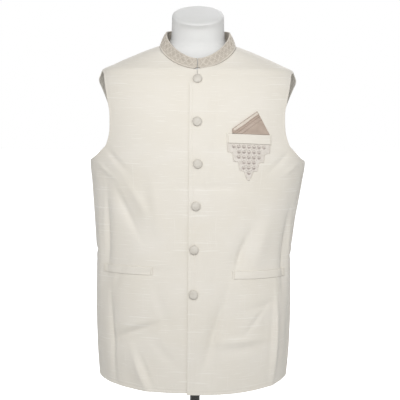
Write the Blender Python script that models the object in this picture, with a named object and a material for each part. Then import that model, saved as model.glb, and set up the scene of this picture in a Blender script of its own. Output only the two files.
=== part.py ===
"""Sleeveless stand-collar waistcoat on a limbless dress form, in metres, +Z up.

The cloth is worked out from level girths of the worn garment. A point of the cloth is
given by its height and by an angle round the body: 0 at the centre front, 90 at the
wearer's left side, 180 at the centre back, and negative on the wearer's right.
"""

from math import cos, pi, radians, sin

import bmesh
import bpy
import numpy as np

for old in list(bpy.data.objects):
    bpy.data.objects.remove(old)

# Cloth and seams
WALL = 0.0020
SEAM_GAP = 0.0003
EDGE_GAP = 0.0005
LAP_LIFT = 0.0026
LAP_WIDTH = 0.016
LAP_EASE = (0.018, 0.040)
LAP_TOP = (0.8000, 0.8200)
LAP_COLUMNS = (0.003, 0.018, 0.040)

# Garment heights
HEM = 0.2000
HEM_DIP_LEFT = 0.0205
HEM_DIP_RIGHT = 0.0175
HEM_FADE = 0.3400
NECK_SIDE = 0.8890
NECK_HALF_WIDTH = 0.0790
NECK_DROP = 0.0490
NECK_POWER = 1.7
FRONT_TOP_GAP = 0.0012

# Stand collar
COLLAR_WALL = 0.0030
COLLAR_END = 0.0008
COLLAR_TOP_SIDE = 0.9180
COLLAR_TOP_DROP = 0.0560
COLLAR_TOP_RISE = 0.0060
COLLAR_TOP_HALF_WIDTH = 0.0660
COLLAR_TOP_FRONT = 0.0760
COLLAR_TOP_BACK = 0.0620

# Buttons down the front, heights of their centres
BUTTON_HEIGHTS = (0.8188, 0.7345, 0.6506, 0.5656, 0.4770, 0.3865)
BUTTON_RADIUS = 0.0095
BUTTON_RIM = 0.0022
BUTTON_DOME = 0.0056
BUTTON_BEVEL = 0.0008
SHANK_RADIUS = 0.0030
SHANK_HEIGHT = 0.0012
DOME_RINGS = ((0.80, 0.62), (0.45, 0.93))

# Pockets: outlines are in x and height, as seen from the front
CHEST_WELT = {"left": 0.060, "right": 0.150, "top": 0.7115, "height": 0.0190, "fall": 0.0040}
CHEST_WELT_WALL = 0.0022
PATCH_WALL = 0.0010
PATCH_CENTRE = 0.1045
HIP_WELTS = (
    {"name": "hip_welt_left", "near": 0.0750, "far": 0.1860, "top": 0.4330},
    {"name": "hip_welt_right", "near": -0.0875, "far": -0.1900, "top": 0.4400},
)
HIP_WELT_HEIGHT = 0.0160
HIP_WELT_WALL = 0.0016
SQUARE_LEFT = (0.0705, 0.7205)
SQUARE_PEAK = (0.1205, 0.7555)
SQUARE_RIGHT = 0.1470
SQUARE_WALL = 0.0014
SQUARE_INSET = 0.0009
SQUARE_PLEATS = (
    {"name": "square_wide_pleat", "width": 0.0185, "rise": 0.0012},
    {"name": "square_narrow_pleat", "width": 0.0100, "rise": 0.0024},
)
CUTTER_DEPTH = 0.3
CUT_MARGIN = 0.030

# Dress form and its stand
FORM_SIDE = 0.1780
POLE_RADIUS = 0.0105
BASE_RADIUS = 0.1650
BASE_THICKNESS = 0.0100
BASE_BEVEL = 0.0020

GIRTH_COLUMNS = ("height", "half_width", "front", "back", "squareness", "sway")
GIRTHS = (
    (0.2000, 0.1980, 0.1300, 0.1180, 2.50, -0.0044),
    (0.2680, 0.2028, 0.1310, 0.1170, 2.50, -0.0044),
    (0.3540, 0.2052, 0.1310, 0.1160, 2.50, -0.0044),
    (0.4390, 0.2045, 0.1290, 0.1140, 2.40, -0.0044),
    (0.5240, 0.2098, 0.1280, 0.1160, 2.35, -0.0030),
    (0.5665, 0.2148, 0.1280, 0.1190, 2.30, -0.0010),
    (0.6080, 0.2200, 0.1275, 0.1220, 2.25, 0.0010),
    (0.6490, 0.2250, 0.1270, 0.1245, 2.20, 0.0020),
    (0.7000, 0.2240, 0.1245, 0.1255, 2.15, 0.0010),
    (0.7500, 0.2205, 0.1190, 0.1210, 2.15, 0.0000),
    (0.8000, 0.2155, 0.1050, 0.1110, 2.10, 0.0000),
    (0.8186, 0.2110, 0.0985, 0.1065, 2.05, 0.0000),
    (0.8300, 0.2050, 0.0930, 0.1020, 2.00, 0.0000),
    (0.8390, 0.1974, 0.0885, 0.0980, 2.00, 0.0000),
    (0.8500, 0.1736, 0.0797, 0.0915, 2.00, 0.0000),
    (0.8600, 0.1520, 0.0725, 0.0850, 2.00, 0.0000),
    (0.8680, 0.1334, 0.0685, 0.0805, 2.00, 0.0000),
    (0.8765, 0.1130, 0.0655, 0.0760, 2.00, 0.0000),
    (0.8850, 0.0905, 0.0620, 0.0720, 2.00, 0.0000),
    (0.8890, 0.0790, 0.0600, 0.0700, 2.00, 0.0000),
)

# Angle of each armhole's front and back edge at a height
ARMHOLE_COLUMNS = ("height", "front_edge", "back_edge")
ARMHOLE = (
    (0.6490, 90.0, 90.0),
    (0.6560, 74.0, 104.5),
    (0.6680, 64.2, 113.5),
    (0.6870, 55.4, 122.1),
    (0.7180, 52.4, 125.0),
    (0.7490, 53.2, 123.0),
    (0.7760, 56.6, 117.5),
    (0.8000, 60.6, 109.7),
    (0.8186, 65.5, 99.8),
    (0.8300, 71.4, 96.9),
    (0.8390, 90.0, 90.0),
)

# Soft folds: centre, lean from upright, half length, half width and height above the cloth
FOLD_COLUMNS = ("angle", "height", "lean", "half_length", "half_width", "rise")
FOLDS = (
    (-57.0, 0.500, 4.0, 0.090, 0.016, -0.0035),
    (-68.0, 0.480, 3.0, 0.100, 0.018, 0.0030),
    (-36.0, 0.550, -38.0, 0.060, 0.018, -0.0030),
    (-50.0, 0.290, -3.0, 0.090, 0.016, -0.0030),
    (-34.0, 0.300, 68.0, 0.055, 0.018, -0.0030),
    (-27.0, 0.225, -24.0, 0.045, 0.016, 0.0032),
    (25.0, 0.470, 22.0, 0.045, 0.015, -0.0040),
    (36.0, 0.480, 18.0, 0.050, 0.018, 0.0030),
    (64.0, 0.460, 2.0, 0.075, 0.018, -0.0045),
    (51.0, 0.290, 0.0, 0.085, 0.016, 0.0040),
    (9.0, 0.300, 12.0, 0.080, 0.017, -0.0030),
    (74.0, 0.280, 0.0, 0.080, 0.020, -0.0030),
    (112.0, 0.420, -4.0, 0.110, 0.020, -0.0035),
    (-115.0, 0.440, 5.0, 0.110, 0.020, -0.0035),
    (150.0, 0.330, 6.0, 0.100, 0.022, 0.0030),
    (-152.0, 0.320, -7.0, 0.100, 0.022, 0.0030),
    (176.0, 0.520, 84.0, 0.070, 0.018, -0.0025),
)
GIRTH_PER_RADIAN = 0.175

# Rows of the cloth's grid, closer together round the armhole and the shoulder
ROW_BAND_COLUMNS = ("low", "high", "rows")
ROW_BANDS = (
    (0.2000, 0.6400, 15),
    (0.6400, 0.6900, 6),
    (0.6900, 0.8186, 6),
    (0.8186, 0.8405, 4),
    (0.8405, 0.8885, 9),
)
FRONT_RIGHT_COLUMNS = 8
FRONT_LEFT_COLUMNS = 9
BACK_COLUMNS = 20
COLLAR_COLUMNS = 48
COLLAR_ROWS = 3

# Sides of the round pieces
BUTTON_SIDES = 16
FORM_SIDES = 40
POLE_SIDES = 20
BASE_SIDES = 48

# Steps up and round that measure how the cloth faces
NORMAL_RISE = 0.0015
NORMAL_TURN = 1.0

# Stepped outline of the embroidered patch, from the welt down
PATCH_COLUMNS = ("depth", "half_width")
PATCH = (
    (0.0000, 0.0440),
    (0.0180, 0.0430),
    (0.0195, 0.0330),
    (0.0360, 0.0310),
    (0.0375, 0.0210),
    (0.0540, 0.0180),
    (0.0555, 0.0090),
    (0.0660, 0.0060),
    (0.0740, 0.0012),
)

# Dress form: torso rows are level, neck rows tilt forward towards the slanted cap
FORM_COLUMNS = ("height", "half_width", "front", "back", "squareness", "middle", "tilt")
FORM = (
    (0.2450, 0.1400, 0.0860, 0.0780, 2.3, 0.0000, 0.00),
    (0.2520, 0.1500, 0.0940, 0.0860, 2.3, 0.0000, 0.00),
    (0.3000, 0.1630, 0.1040, 0.0950, 2.3, 0.0000, 0.00),
    (0.3600, 0.1660, 0.1060, 0.0980, 2.3, 0.0000, 0.00),
    (0.4400, 0.1520, 0.0980, 0.0880, 2.2, 0.0000, 0.00),
    (0.5200, 0.1580, 0.1050, 0.0950, 2.2, 0.0000, 0.00),
    (0.6000, 0.1720, 0.1150, 0.1060, 2.2, 0.0000, 0.00),
    (0.6600, 0.1830, 0.1190, 0.1165, 2.15, 0.0000, 0.00),
    (0.7000, 0.1950, 0.1190, 0.1205, 2.15, 0.0000, 0.00),
    (0.7500, 0.2030, 0.1145, 0.1165, 2.1, 0.0000, 0.00),
    (0.8000, 0.2050, 0.1005, 0.1065, 2.1, 0.0000, 0.00),
    (0.8186, 0.2000, 0.0940, 0.1020, 2.0, 0.0000, 0.00),
    (0.8300, 0.1960, 0.0885, 0.0975, 2.0, 0.0000, 0.00),
    (0.8390, 0.1905, 0.0840, 0.0935, 2.0, 0.0000, 0.00),
    (0.8500, 0.1676, 0.0725, 0.0865, 2.0, 0.0000, 0.00),
    (0.8600, 0.1460, 0.0640, 0.0800, 2.0, 0.0000, 0.00),
    (0.8680, 0.1274, 0.0595, 0.0750, 2.0, 0.0000, 0.00),
    (0.8765, 0.1068, 0.0570, 0.0700, 2.0, 0.0000, 0.00),
    (0.8838, 0.0850, 0.0555, 0.0640, 2.0, 0.0000, 0.00),
    (0.8875, 0.0720, 0.0545, 0.0600, 2.0, 0.0000, 0.00),
    (0.8950, 0.0612, 0.0540, 0.0560, 2.0, -0.0005, 0.02),
    (0.9070, 0.0561, 0.0550, 0.0540, 2.0, -0.0015, 0.06),
    (0.9250, 0.0545, 0.0545, 0.0530, 2.0, -0.0045, 0.14),
    (0.9390, 0.0541, 0.0540, 0.0525, 2.0, -0.0090, 0.28),
    (0.9490, 0.0537, 0.0535, 0.0520, 2.0, -0.0130, 0.40),
    (0.9525, 0.0519, 0.0515, 0.0500, 2.0, -0.0145, 0.433),
    (0.9543, 0.0473, 0.0465, 0.0450, 2.0, -0.0155, 0.433),
)


def column(rows, columns, name):
    return np.array([row[columns.index(name)] for row in rows], float)


def eased(at, heights, values):
    """Smooth curve through the values that never overshoots them."""
    steps = np.diff(heights)
    slopes = np.diff(values) / steps
    tangents = np.empty(len(values))
    tangents[0], tangents[-1] = slopes[0], slopes[-1]
    for i in range(1, len(values) - 1):
        before, after = slopes[i - 1], slopes[i]
        if before * after <= 0:
            tangents[i] = 0
        else:
            one = 2 * steps[i] + steps[i - 1]
            two = steps[i] + 2 * steps[i - 1]
            tangents[i] = (one + two) / (one / before + two / after)
    at = np.clip(at, heights[0], heights[-1])
    i = np.clip(np.searchsorted(heights, at, side="right") - 1, 0, len(steps) - 1)
    t = (at - heights[i]) / steps[i]
    rise = values[i + 1] - values[i]
    start, end = tangents[i] * steps[i], tangents[i + 1] * steps[i]
    return values[i] + t * (start + t * (3 * rise - 2 * start - end + t * (start + end - 2 * rise)))


def smooth(low, high, at):
    t = np.clip((at - low) / (high - low), 0, 1)
    return t * t * (3 - 2 * t)


def girth(name, height):
    heights = column(GIRTHS, GIRTH_COLUMNS, "height")
    return eased(height, heights, column(GIRTHS, GIRTH_COLUMNS, name))


def power(value, exponent):
    return np.sign(value) * np.abs(value) ** exponent


def angle_at(x, height):
    """Angle of the front cloth at a distance x from the middle line."""
    share = (x - girth("sway", height)) / girth("half_width", height)
    share = np.clip(share, -1, 1)
    return np.degrees(np.arcsin(power(share, girth("squareness", height) / 2)))


def bare_point(height, angle, hem_dip):
    """The cloth without folds. The hem dips at the centre front."""
    turn = np.radians(angle)
    bow = 2 / girth("squareness", height)
    depth = np.where(np.cos(turn) > 0, girth("front", height), girth("back", height))
    x = girth("sway", height) + girth("half_width", height) * power(np.sin(turn), bow)
    y = -depth * power(np.cos(turn), bow)
    dip = hem_dip * smooth(HEM_FADE, HEM, height) * np.where(np.cos(turn) > 0, np.cos(turn) ** 2, 0)
    return np.stack([x, y, height - dip], axis=-1)


def outward(height, angle, hem_dip):
    """Unit normal of the cloth, from short steps up and round."""
    low = np.clip(height - NORMAL_RISE, HEM, NECK_SIDE)
    high = np.clip(height + NORMAL_RISE, HEM, NECK_SIDE)
    rising = bare_point(high, angle, hem_dip) - bare_point(low, angle, hem_dip)
    before = bare_point(height, angle - NORMAL_TURN, hem_dip)
    after = bare_point(height, angle + NORMAL_TURN, hem_dip)
    normal = np.cross(after - before, rising)
    return normal / np.linalg.norm(normal, axis=-1, keepdims=True)


def fold_rise(height, angle):
    total = np.zeros(np.shape(angle))
    for row in FOLDS:
        fold = dict(zip(FOLD_COLUMNS, row))
        turn = (angle - fold["angle"] + 180) % 360 - 180
        across = np.radians(turn) * GIRTH_PER_RADIAN
        above = height - fold["height"]
        lean = radians(fold["lean"])
        along = above * cos(lean) + across * sin(lean)
        aside = across * cos(lean) - above * sin(lean)
        reach_out = (along / fold["half_length"]) ** 2 + (aside / fold["half_width"]) ** 2
        total += fold["rise"] * np.exp(-reach_out)
    return total


def cloth(height, angle, lift=0.0, hem_dip=HEM_DIP_LEFT):
    """Point of the cloth's outer face, moved out by lift."""
    height = np.asarray(height, float)
    angle = np.asarray(angle, float)
    height, angle = np.broadcast_arrays(height, angle)
    rise = fold_rise(height, angle) + lift
    return bare_point(height, angle, hem_dip) + outward(height, angle, hem_dip) * rise[..., None]


def neck_angle(height, grow=0.0):
    """Angle at which the front's neckline crosses a height."""
    share = np.clip((NECK_SIDE - height) / (NECK_DROP + grow), 0, 1)
    x = (NECK_HALF_WIDTH + grow) * (1 - share**NECK_POWER) ** (1 / NECK_POWER)
    return angle_at(np.minimum(x, girth("half_width", height)), height)


def lap_edge(height):
    """Distance of a front's edge past the middle line, rounded off at its top corner."""
    return LAP_WIDTH - (LAP_WIDTH + SEAM_GAP) * smooth(LAP_TOP[0], LAP_TOP[1], height)


def side_gap(height):
    """Turn that leaves half a seam gap beside the side and shoulder seams."""
    depth = girth("front", height)
    share = (0.5 * SEAM_GAP / depth) ** (girth("squareness", height) / 2)
    return np.degrees(share)


def edge_angles(height):
    """Angles where the front ends and where the back starts."""
    heights = column(ARMHOLE, ARMHOLE_COLUMNS, "height")
    front = eased(height, heights, column(ARMHOLE, ARMHOLE_COLUMNS, "front_edge"))
    back = eased(height, heights, column(ARMHOLE, ARMHOLE_COLUMNS, "back_edge"))
    gap = side_gap(height)
    return np.minimum(front, 90 - gap), np.maximum(back, 90 + gap)


def material(name, colour, roughness, metallic=0.0):
    made = bpy.data.materials.new(name)
    made.use_nodes = True
    shader = made.node_tree.nodes["Principled BSDF"]
    shader.inputs["Base Color"].default_value = (*colour, 1)
    shader.inputs["Roughness"].default_value = roughness
    shader.inputs["Metallic"].default_value = metallic
    return made


def add_object(name, bm, finish):
    bmesh.ops.recalc_face_normals(bm, faces=bm.faces)
    mesh = bpy.data.meshes.new(name)
    bm.to_mesh(mesh)
    bm.free()
    mesh.shade_smooth()
    mesh.set_sharp_from_angle(angle=radians(40))
    mesh.materials.append(finish)
    made = bpy.data.objects.new(name, mesh)
    bpy.context.scene.collection.objects.link(made)
    return made


def wall(name, outer, inner, finish):
    """Closed wall between two grids of points, in triangles that all slant the same way."""
    rows, columns = outer.shape[:2]
    bm = bmesh.new()
    grids = [[[bm.verts.new(p) for p in row] for row in grid] for grid in (outer, inner)]
    for grid in grids:
        for r in range(rows - 1):
            for c in range(columns - 1):
                bm.faces.new((grid[r][c], grid[r][c + 1], grid[r + 1][c + 1]))
                bm.faces.new((grid[r][c], grid[r + 1][c + 1], grid[r + 1][c]))
    front, back = grids
    for c in range(columns - 1):
        for r in (0, rows - 1):
            bm.faces.new((front[r][c], front[r][c + 1], back[r][c + 1], back[r][c]))
    for r in range(rows - 1):
        for c in (0, columns - 1):
            bm.faces.new((front[r][c], front[r + 1][c], back[r + 1][c], back[r][c]))
    return add_object(name, bm, finish)


def row_heights(top):
    """Heights of the cloth's rows, with the last band ended at the top."""
    rows = []
    for row in ROW_BANDS:
        band = dict(zip(ROW_BAND_COLUMNS, row))
        high = top if row is ROW_BANDS[-1] else band["high"]
        rows.append(np.linspace(band["low"], high, band["rows"], endpoint=False))
    return np.append(np.concatenate(rows), top)


def panel_shares(side, heights, start, end, lower, columns):
    """Shares across a front: columns at the lap, kept the same above the neck, then even ones."""
    marks = np.stack([side * angle_at(side * x, heights) for x in LAP_COLUMNS], axis=1)
    shares = (marks - start[:, None]) / (end - start)[:, None]
    shares[lower:] = shares[lower - 1]
    last = shares[:, -1:]
    even = last + (1 - last) * np.linspace(0, 1, columns + 1)[1:]
    return np.concatenate([np.zeros((len(heights), 1)), shares, even], axis=1)


def front_panel(name, side, hem_dip, lap, columns, finish):
    """One front, from its lapped edge to the side seam. side is 1 on the wearer's left."""
    heights = row_heights(NECK_SIDE - FRONT_TOP_GAP)
    lapped = side * angle_at(-side * lap_edge(heights), heights)
    neckline = np.maximum(side * angle_at(side * SEAM_GAP, heights), neck_angle(heights, EDGE_GAP))
    lower = heights < NECK_SIDE - NECK_DROP - EDGE_GAP
    start = np.where(lower, lapped, neckline)
    end, _ = edge_angles(heights)
    share = panel_shares(side, heights, start, end, np.count_nonzero(lower), columns)
    angles = side * (start[:, None] * (1 - share) + end[:, None] * share)
    levels = np.repeat(heights[:, None], share.shape[1], axis=1)
    x = bare_point(levels, angles, hem_dip)[..., 0]
    lift = lap * (1 - smooth(LAP_EASE[0], LAP_EASE[1], x))
    outer = cloth(levels, angles, lift, hem_dip)
    normals = outward(levels, angles, hem_dip)
    wall(name, outer, outer - normals * WALL, finish)
    return outer, normals


def back_panel(columns, finish):
    heights = row_heights(NECK_SIDE - EDGE_GAP)
    _, start = edge_angles(heights)
    share = np.linspace(-1, 1, columns + 1)
    angles = 180 + share[None, :] * (180 - start[:, None])
    levels = np.repeat(heights[:, None], columns + 1, axis=1)
    return wall("back", cloth(levels, angles), cloth(levels, angles, -WALL), finish)


def collar_edges(turn):
    """Bottom and top point of the collar's outer face. turn is 0 at the front and 180 at the back."""
    across, ahead = sin(radians(abs(turn))), cos(radians(turn))
    side = 1 if turn > 0 else -1
    if ahead > 0:
        bow = 2 / NECK_POWER
        height = NECK_SIDE - NECK_DROP * ahead**bow
        x = NECK_HALF_WIDTH * across**bow
        bottom = cloth(height, side * angle_at(x, np.array(height)))
        top_x = COLLAR_TOP_HALF_WIDTH * across**bow
        top_y = -COLLAR_TOP_FRONT * (1 - (top_x / COLLAR_TOP_HALF_WIDTH) ** 2) ** 0.5
        top_z = COLLAR_TOP_SIDE - COLLAR_TOP_DROP * ahead**bow
    else:
        bottom = cloth(NECK_SIDE, turn)
        top_x = COLLAR_TOP_HALF_WIDTH * across
        top_y = -COLLAR_TOP_BACK * ahead
        top_z = COLLAR_TOP_SIDE - COLLAR_TOP_RISE * ahead
    return np.array(bottom), np.array((side * top_x, top_y, top_z))


def collar(columns, rows, finish):
    end = np.degrees(np.arcsin((COLLAR_END / NECK_HALF_WIDTH) ** (NECK_POWER / 2)))
    turns = np.linspace(end, 360 - end, columns + 1)
    turns = np.where(turns > 180, turns - 360, turns)
    edges = [collar_edges(turn) for turn in turns]
    share = np.linspace(0, 1, rows + 1)[:, None, None]
    bottom = np.array([edge[0] for edge in edges])
    top = np.array([edge[1] for edge in edges])
    outer = bottom * (1 - share) + top * share
    upward = top - bottom
    around = np.gradient(bottom + top, axis=0)
    normal = np.cross(around, upward)
    normal /= np.linalg.norm(normal, axis=-1, keepdims=True)
    return wall("collar", outer, outer - normal * COLLAR_WALL, finish)


def hidden(made):
    made.hide_render = True
    made.display_type = "WIRE"
    return made


def combine(made, other, operation):
    modifier = made.modifiers.new(operation.title(), "BOOLEAN")
    modifier.operation = operation
    modifier.object = other


def prism(name, outline, finish):
    """Upright outline drawn in x and height, pushed through the front from front to middle."""
    bm = bmesh.new()
    near = [bm.verts.new((x, -CUTTER_DEPTH, z)) for x, z in outline]
    far = [bm.verts.new((x, 0.0, z)) for x, z in outline]
    bm.faces.new(near)
    bm.faces.new(far)
    for i in range(len(outline)):
        j = (i + 1) % len(outline)
        bm.faces.new((near[i], near[j], far[j], far[i]))
    return hidden(add_object(name, bm, finish))


def reach(values, low, high):
    """Slice of a rising or falling row of values that spans low to high, with one more at each end."""
    inside = np.nonzero((values > low) & (values < high))[0]
    return slice(max(inside.min() - 1, 0), inside.max() + 2)


def lying_piece(name, panel, outline, low, high, finish):
    """Piece cut to an outline from the panel's own points, moved out from low to high."""
    points, normals = panel
    xs = [x for x, _ in outline]
    heights = [z for _, z in outline]
    rows = reach(points[:, 0, 2], min(heights) - CUT_MARGIN, max(heights) + CUT_MARGIN)
    middle = points[(rows.start + rows.stop) // 2, :, 0]
    columns = reach(middle, min(xs) - CUT_MARGIN, max(xs) + CUT_MARGIN)
    patch, out = points[rows, columns], normals[rows, columns]
    made = wall(name, patch + out * high, patch + out * low, finish)
    combine(made, prism(name + "_outline", outline, finish), "INTERSECT")
    return made


def welt_top(x):
    slope = CHEST_WELT["fall"] / (CHEST_WELT["right"] - CHEST_WELT["left"])
    return CHEST_WELT["top"] - slope * (x - CHEST_WELT["left"])


def chest_welt(panel, finish):
    ends = (CHEST_WELT["left"], CHEST_WELT["right"])
    top = [(x, welt_top(x)) for x in ends]
    bottom = [(x, welt_top(x) - CHEST_WELT["height"]) for x in reversed(ends)]
    lying_piece("chest_welt", panel, top + bottom, SEAM_GAP, SEAM_GAP + CHEST_WELT_WALL, finish)


def chest_patch(panel, finish):
    """Embroidered patch below the welt, with a stepped lower outline."""
    outline = []
    for side, rows in ((-1, PATCH), (1, PATCH[::-1])):
        for depth, half_width in rows:
            x = PATCH_CENTRE + side * half_width
            outline.append((x, welt_top(x) - CHEST_WELT["height"] - SEAM_GAP - depth))
    lying_piece("chest_patch", panel, outline, SEAM_GAP, SEAM_GAP + PATCH_WALL, finish)


def pleat_outline(corners, inward, width):
    """Strip of the square along its upper left edge, kept inside the outline."""
    left, peak, foot_right, foot_left = corners

    def crossing(a, b, distance):
        reach_a, reach_b = np.dot(a - left, inward), np.dot(b - left, inward)
        return a + (b - a) * (distance - reach_a) / (reach_b - reach_a)

    far = crossing(foot_left, foot_right, width)
    points = np.array([left, peak, crossing(peak, foot_right, width), far, foot_left])
    towards = points.mean(axis=0) - points
    return points + towards / np.linalg.norm(towards, axis=1, keepdims=True) * SQUARE_INSET


def pocket_square(panel, finish):
    """Folded square standing out of the chest pocket, with stepped pleats along its upper edge."""
    left, peak = np.array(SQUARE_LEFT), np.array(SQUARE_PEAK)
    along = (peak - left) / np.linalg.norm(peak - left)
    inward = np.array((along[1], -along[0]))
    feet = [np.array((x, welt_top(x) + SEAM_GAP)) for x in (SQUARE_RIGHT, SQUARE_LEFT[0])]
    corners = [left, peak] + feet
    square = lying_piece("pocket_square", panel, corners, SEAM_GAP, SEAM_GAP + SQUARE_WALL, finish)
    for pleat in SQUARE_PLEATS:
        strip = pleat_outline(corners, inward, pleat["width"])
        low = SEAM_GAP + SQUARE_WALL * 0.5
        high = SEAM_GAP + SQUARE_WALL + pleat["rise"]
        combine(square, hidden(lying_piece(pleat["name"], panel, strip, low, high, finish)), "UNION")


def hip_welt(row, panel, finish):
    low = row["top"] - HIP_WELT_HEIGHT
    outline = [(row["near"], row["top"]), (row["far"], row["top"]), (row["far"], low), (row["near"], low)]
    lying_piece(row["name"], panel, outline, SEAM_GAP, SEAM_GAP + HIP_WELT_WALL, finish)


def button(number, height, finish):
    """Domed button on a short shank, square to the cloth where it is sewn."""
    profile = (
        (SHANK_RADIUS, 0.0),
        (SHANK_RADIUS, SHANK_HEIGHT),
        (BUTTON_RADIUS - BUTTON_BEVEL, SHANK_HEIGHT),
        (BUTTON_RADIUS, SHANK_HEIGHT + BUTTON_BEVEL),
        (BUTTON_RADIUS, SHANK_HEIGHT + BUTTON_RIM),
    )
    dome = BUTTON_DOME - BUTTON_RIM
    rounded = tuple((BUTTON_RADIUS * wide, SHANK_HEIGHT + BUTTON_RIM + dome * up) for wide, up in DOME_RINGS)
    angle = angle_at(girth("sway", height), np.array(height))
    middle = cloth(height, angle, LAP_LIFT + SEAM_GAP)
    normal = outward(np.array(height), np.array(angle), HEM_DIP_LEFT)
    right = np.cross((0, 0, 1), normal)
    right /= np.linalg.norm(right)
    up = np.cross(normal, right)
    bm = bmesh.new()
    rings = []
    for radius, out in profile + rounded:
        ring = []
        for i in range(BUTTON_SIDES):
            turn = 2 * pi * i / BUTTON_SIDES
            ring.append(bm.verts.new(middle + normal * out + radius * (right * cos(turn) + up * sin(turn))))
        rings.append(ring)
    for low, high in zip(rings, rings[1:]):
        for i in range(BUTTON_SIDES):
            j = (i + 1) % BUTTON_SIDES
            bm.faces.new((low[i], low[j], high[j], high[i]))
    bm.faces.new(rings[0])
    crown = bm.verts.new(middle + normal * (SHANK_HEIGHT + BUTTON_DOME))
    for i in range(BUTTON_SIDES):
        bm.faces.new((rings[-1][i], rings[-1][(i + 1) % BUTTON_SIDES], crown))
    return add_object(f"button_{number}", bm, finish)


def dress_form(sides, finish):
    """Limbless torso with flat sides at the armholes and a neck with a slanted top."""
    bm = bmesh.new()
    rings = []
    for row in FORM:
        level = dict(zip(FORM_COLUMNS, row))
        bow = 2 / level["squareness"]
        ring = []
        for i in range(sides):
            turn = 2 * pi * i / sides
            depth = level["front"] if cos(turn) > 0 else level["back"]
            x = level["half_width"] * power(sin(turn), bow)
            y = -depth * power(cos(turn), bow)
            x = float(np.clip(x, -FORM_SIDE, FORM_SIDE))
            ring.append(bm.verts.new((x, level["middle"] + y, level["height"] + level["tilt"] * y)))
        rings.append(ring)
    for low, high in zip(rings, rings[1:]):
        for i in range(sides):
            j = (i + 1) % sides
            bm.faces.new((low[i], low[j], high[j], high[i]))
    bm.faces.new(rings[0])
    bm.faces.new(rings[-1])
    return add_object("dress_form", bm, finish)


def turned(name, profile, sides, finish):
    """Upright turned piece from radius and height pairs, bottom to top."""
    bm = bmesh.new()
    rings = []
    for radius, height in profile:
        turns = [2 * pi * i / sides for i in range(sides)]
        rings.append([bm.verts.new((radius * cos(t), radius * sin(t), height)) for t in turns])
    for low, high in zip(rings, rings[1:]):
        for i in range(sides):
            j = (i + 1) % sides
            bm.faces.new((low[i], low[j], high[j], high[i]))
    bm.faces.new(rings[0])
    bm.faces.new(rings[-1])
    return add_object(name, bm, finish)


def build():
    cream = material("cream_suiting", (0.80, 0.77, 0.69), 0.75)
    band = material("embroidered_band", (0.62, 0.55, 0.46), 0.80)
    taupe = material("taupe_satin", (0.45, 0.36, 0.30), 0.45)
    button_finish = material("covered_button", (0.58, 0.56, 0.52), 0.45)
    white = material("white_form", (0.82, 0.82, 0.81), 0.35)
    black = material("black_metal", (0.03, 0.03, 0.03), 0.40, 0.6)

    right = front_panel("front_right", -1, HEM_DIP_RIGHT, 0.0, FRONT_RIGHT_COLUMNS, cream)
    left = front_panel("front_left", 1, HEM_DIP_LEFT, LAP_LIFT, FRONT_LEFT_COLUMNS, cream)
    back_panel(BACK_COLUMNS, cream)
    collar(COLLAR_COLUMNS, COLLAR_ROWS, band)
    for number, height in enumerate(BUTTON_HEIGHTS, 1):
        button(number, height, button_finish)
    chest_welt(left, cream)
    chest_patch(left, band)
    pocket_square(left, taupe)
    for row, panel in zip(HIP_WELTS, (left, right)):
        hip_welt(row, panel, cream)

    form_bottom = FORM[0][FORM_COLUMNS.index("height")]
    dress_form(FORM_SIDES, white)
    pole_profile = ((POLE_RADIUS, BASE_THICKNESS + SEAM_GAP), (POLE_RADIUS, form_bottom - SEAM_GAP))
    turned("pole", pole_profile, POLE_SIDES, black)
    rim = BASE_RADIUS - BASE_BEVEL
    base_profile = (
        (BASE_RADIUS, 0.0),
        (BASE_RADIUS, BASE_THICKNESS - BASE_BEVEL),
        (rim, BASE_THICKNESS),
    )
    turned("base", base_profile, BASE_SIDES, black)


build()
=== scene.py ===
import math
import random

import bpy
import numpy as np
from mathutils import Matrix, Vector


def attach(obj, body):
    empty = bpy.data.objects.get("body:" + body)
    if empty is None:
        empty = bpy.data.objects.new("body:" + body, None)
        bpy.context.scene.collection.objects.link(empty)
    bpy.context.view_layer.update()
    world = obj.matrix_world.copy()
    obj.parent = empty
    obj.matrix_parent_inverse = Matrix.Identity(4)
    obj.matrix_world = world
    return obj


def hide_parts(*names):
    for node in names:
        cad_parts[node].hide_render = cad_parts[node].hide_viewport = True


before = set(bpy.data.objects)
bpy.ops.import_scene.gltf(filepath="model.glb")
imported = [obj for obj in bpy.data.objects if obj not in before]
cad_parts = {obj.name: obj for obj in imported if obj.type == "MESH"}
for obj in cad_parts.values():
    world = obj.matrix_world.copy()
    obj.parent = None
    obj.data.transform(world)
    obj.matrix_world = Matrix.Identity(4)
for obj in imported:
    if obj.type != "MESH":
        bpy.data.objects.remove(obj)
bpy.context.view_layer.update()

body = "root"
dice = random.Random(18)
print("frame:", len(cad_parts), "nodes")

# Metres. Angles go round the body from the centre front, positive to the wearer's left.
garment = {
    "wall": 0.0020,
    "seamGap": 0.0003,
    "edgeGap": 0.0005,
    "hem": 0.2000,
    "hemDip": {1: 0.0205, -1: 0.0175},
    "hemFade": 0.3400,
    "lapLift": 0.0026,
    "lapWidth": 0.016,
    "lapEase": (0.018, 0.040),
    "lapTop": (0.8085, 0.8195),
    "underarm": 0.6490,
    "shoulderTip": 0.8390,
    "neckSide": 0.8890,
    "neckHalfWidth": 0.0790,
    "neckDrop": 0.0490,
    "neckPower": 1.7,
    "frontTopGap": 0.0012,
    "girthPerRadian": 0.175,
    "edgeRound": 0.0011,
    "edgeThin": 0.35,
    "stitchInset": 0.0060,
    "stitchGroove": 0.00035,
    "grooveWidth": 0.0011,
    "foldDepth": 1.35,
    "creaseDepth": 2.5,
}

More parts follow.
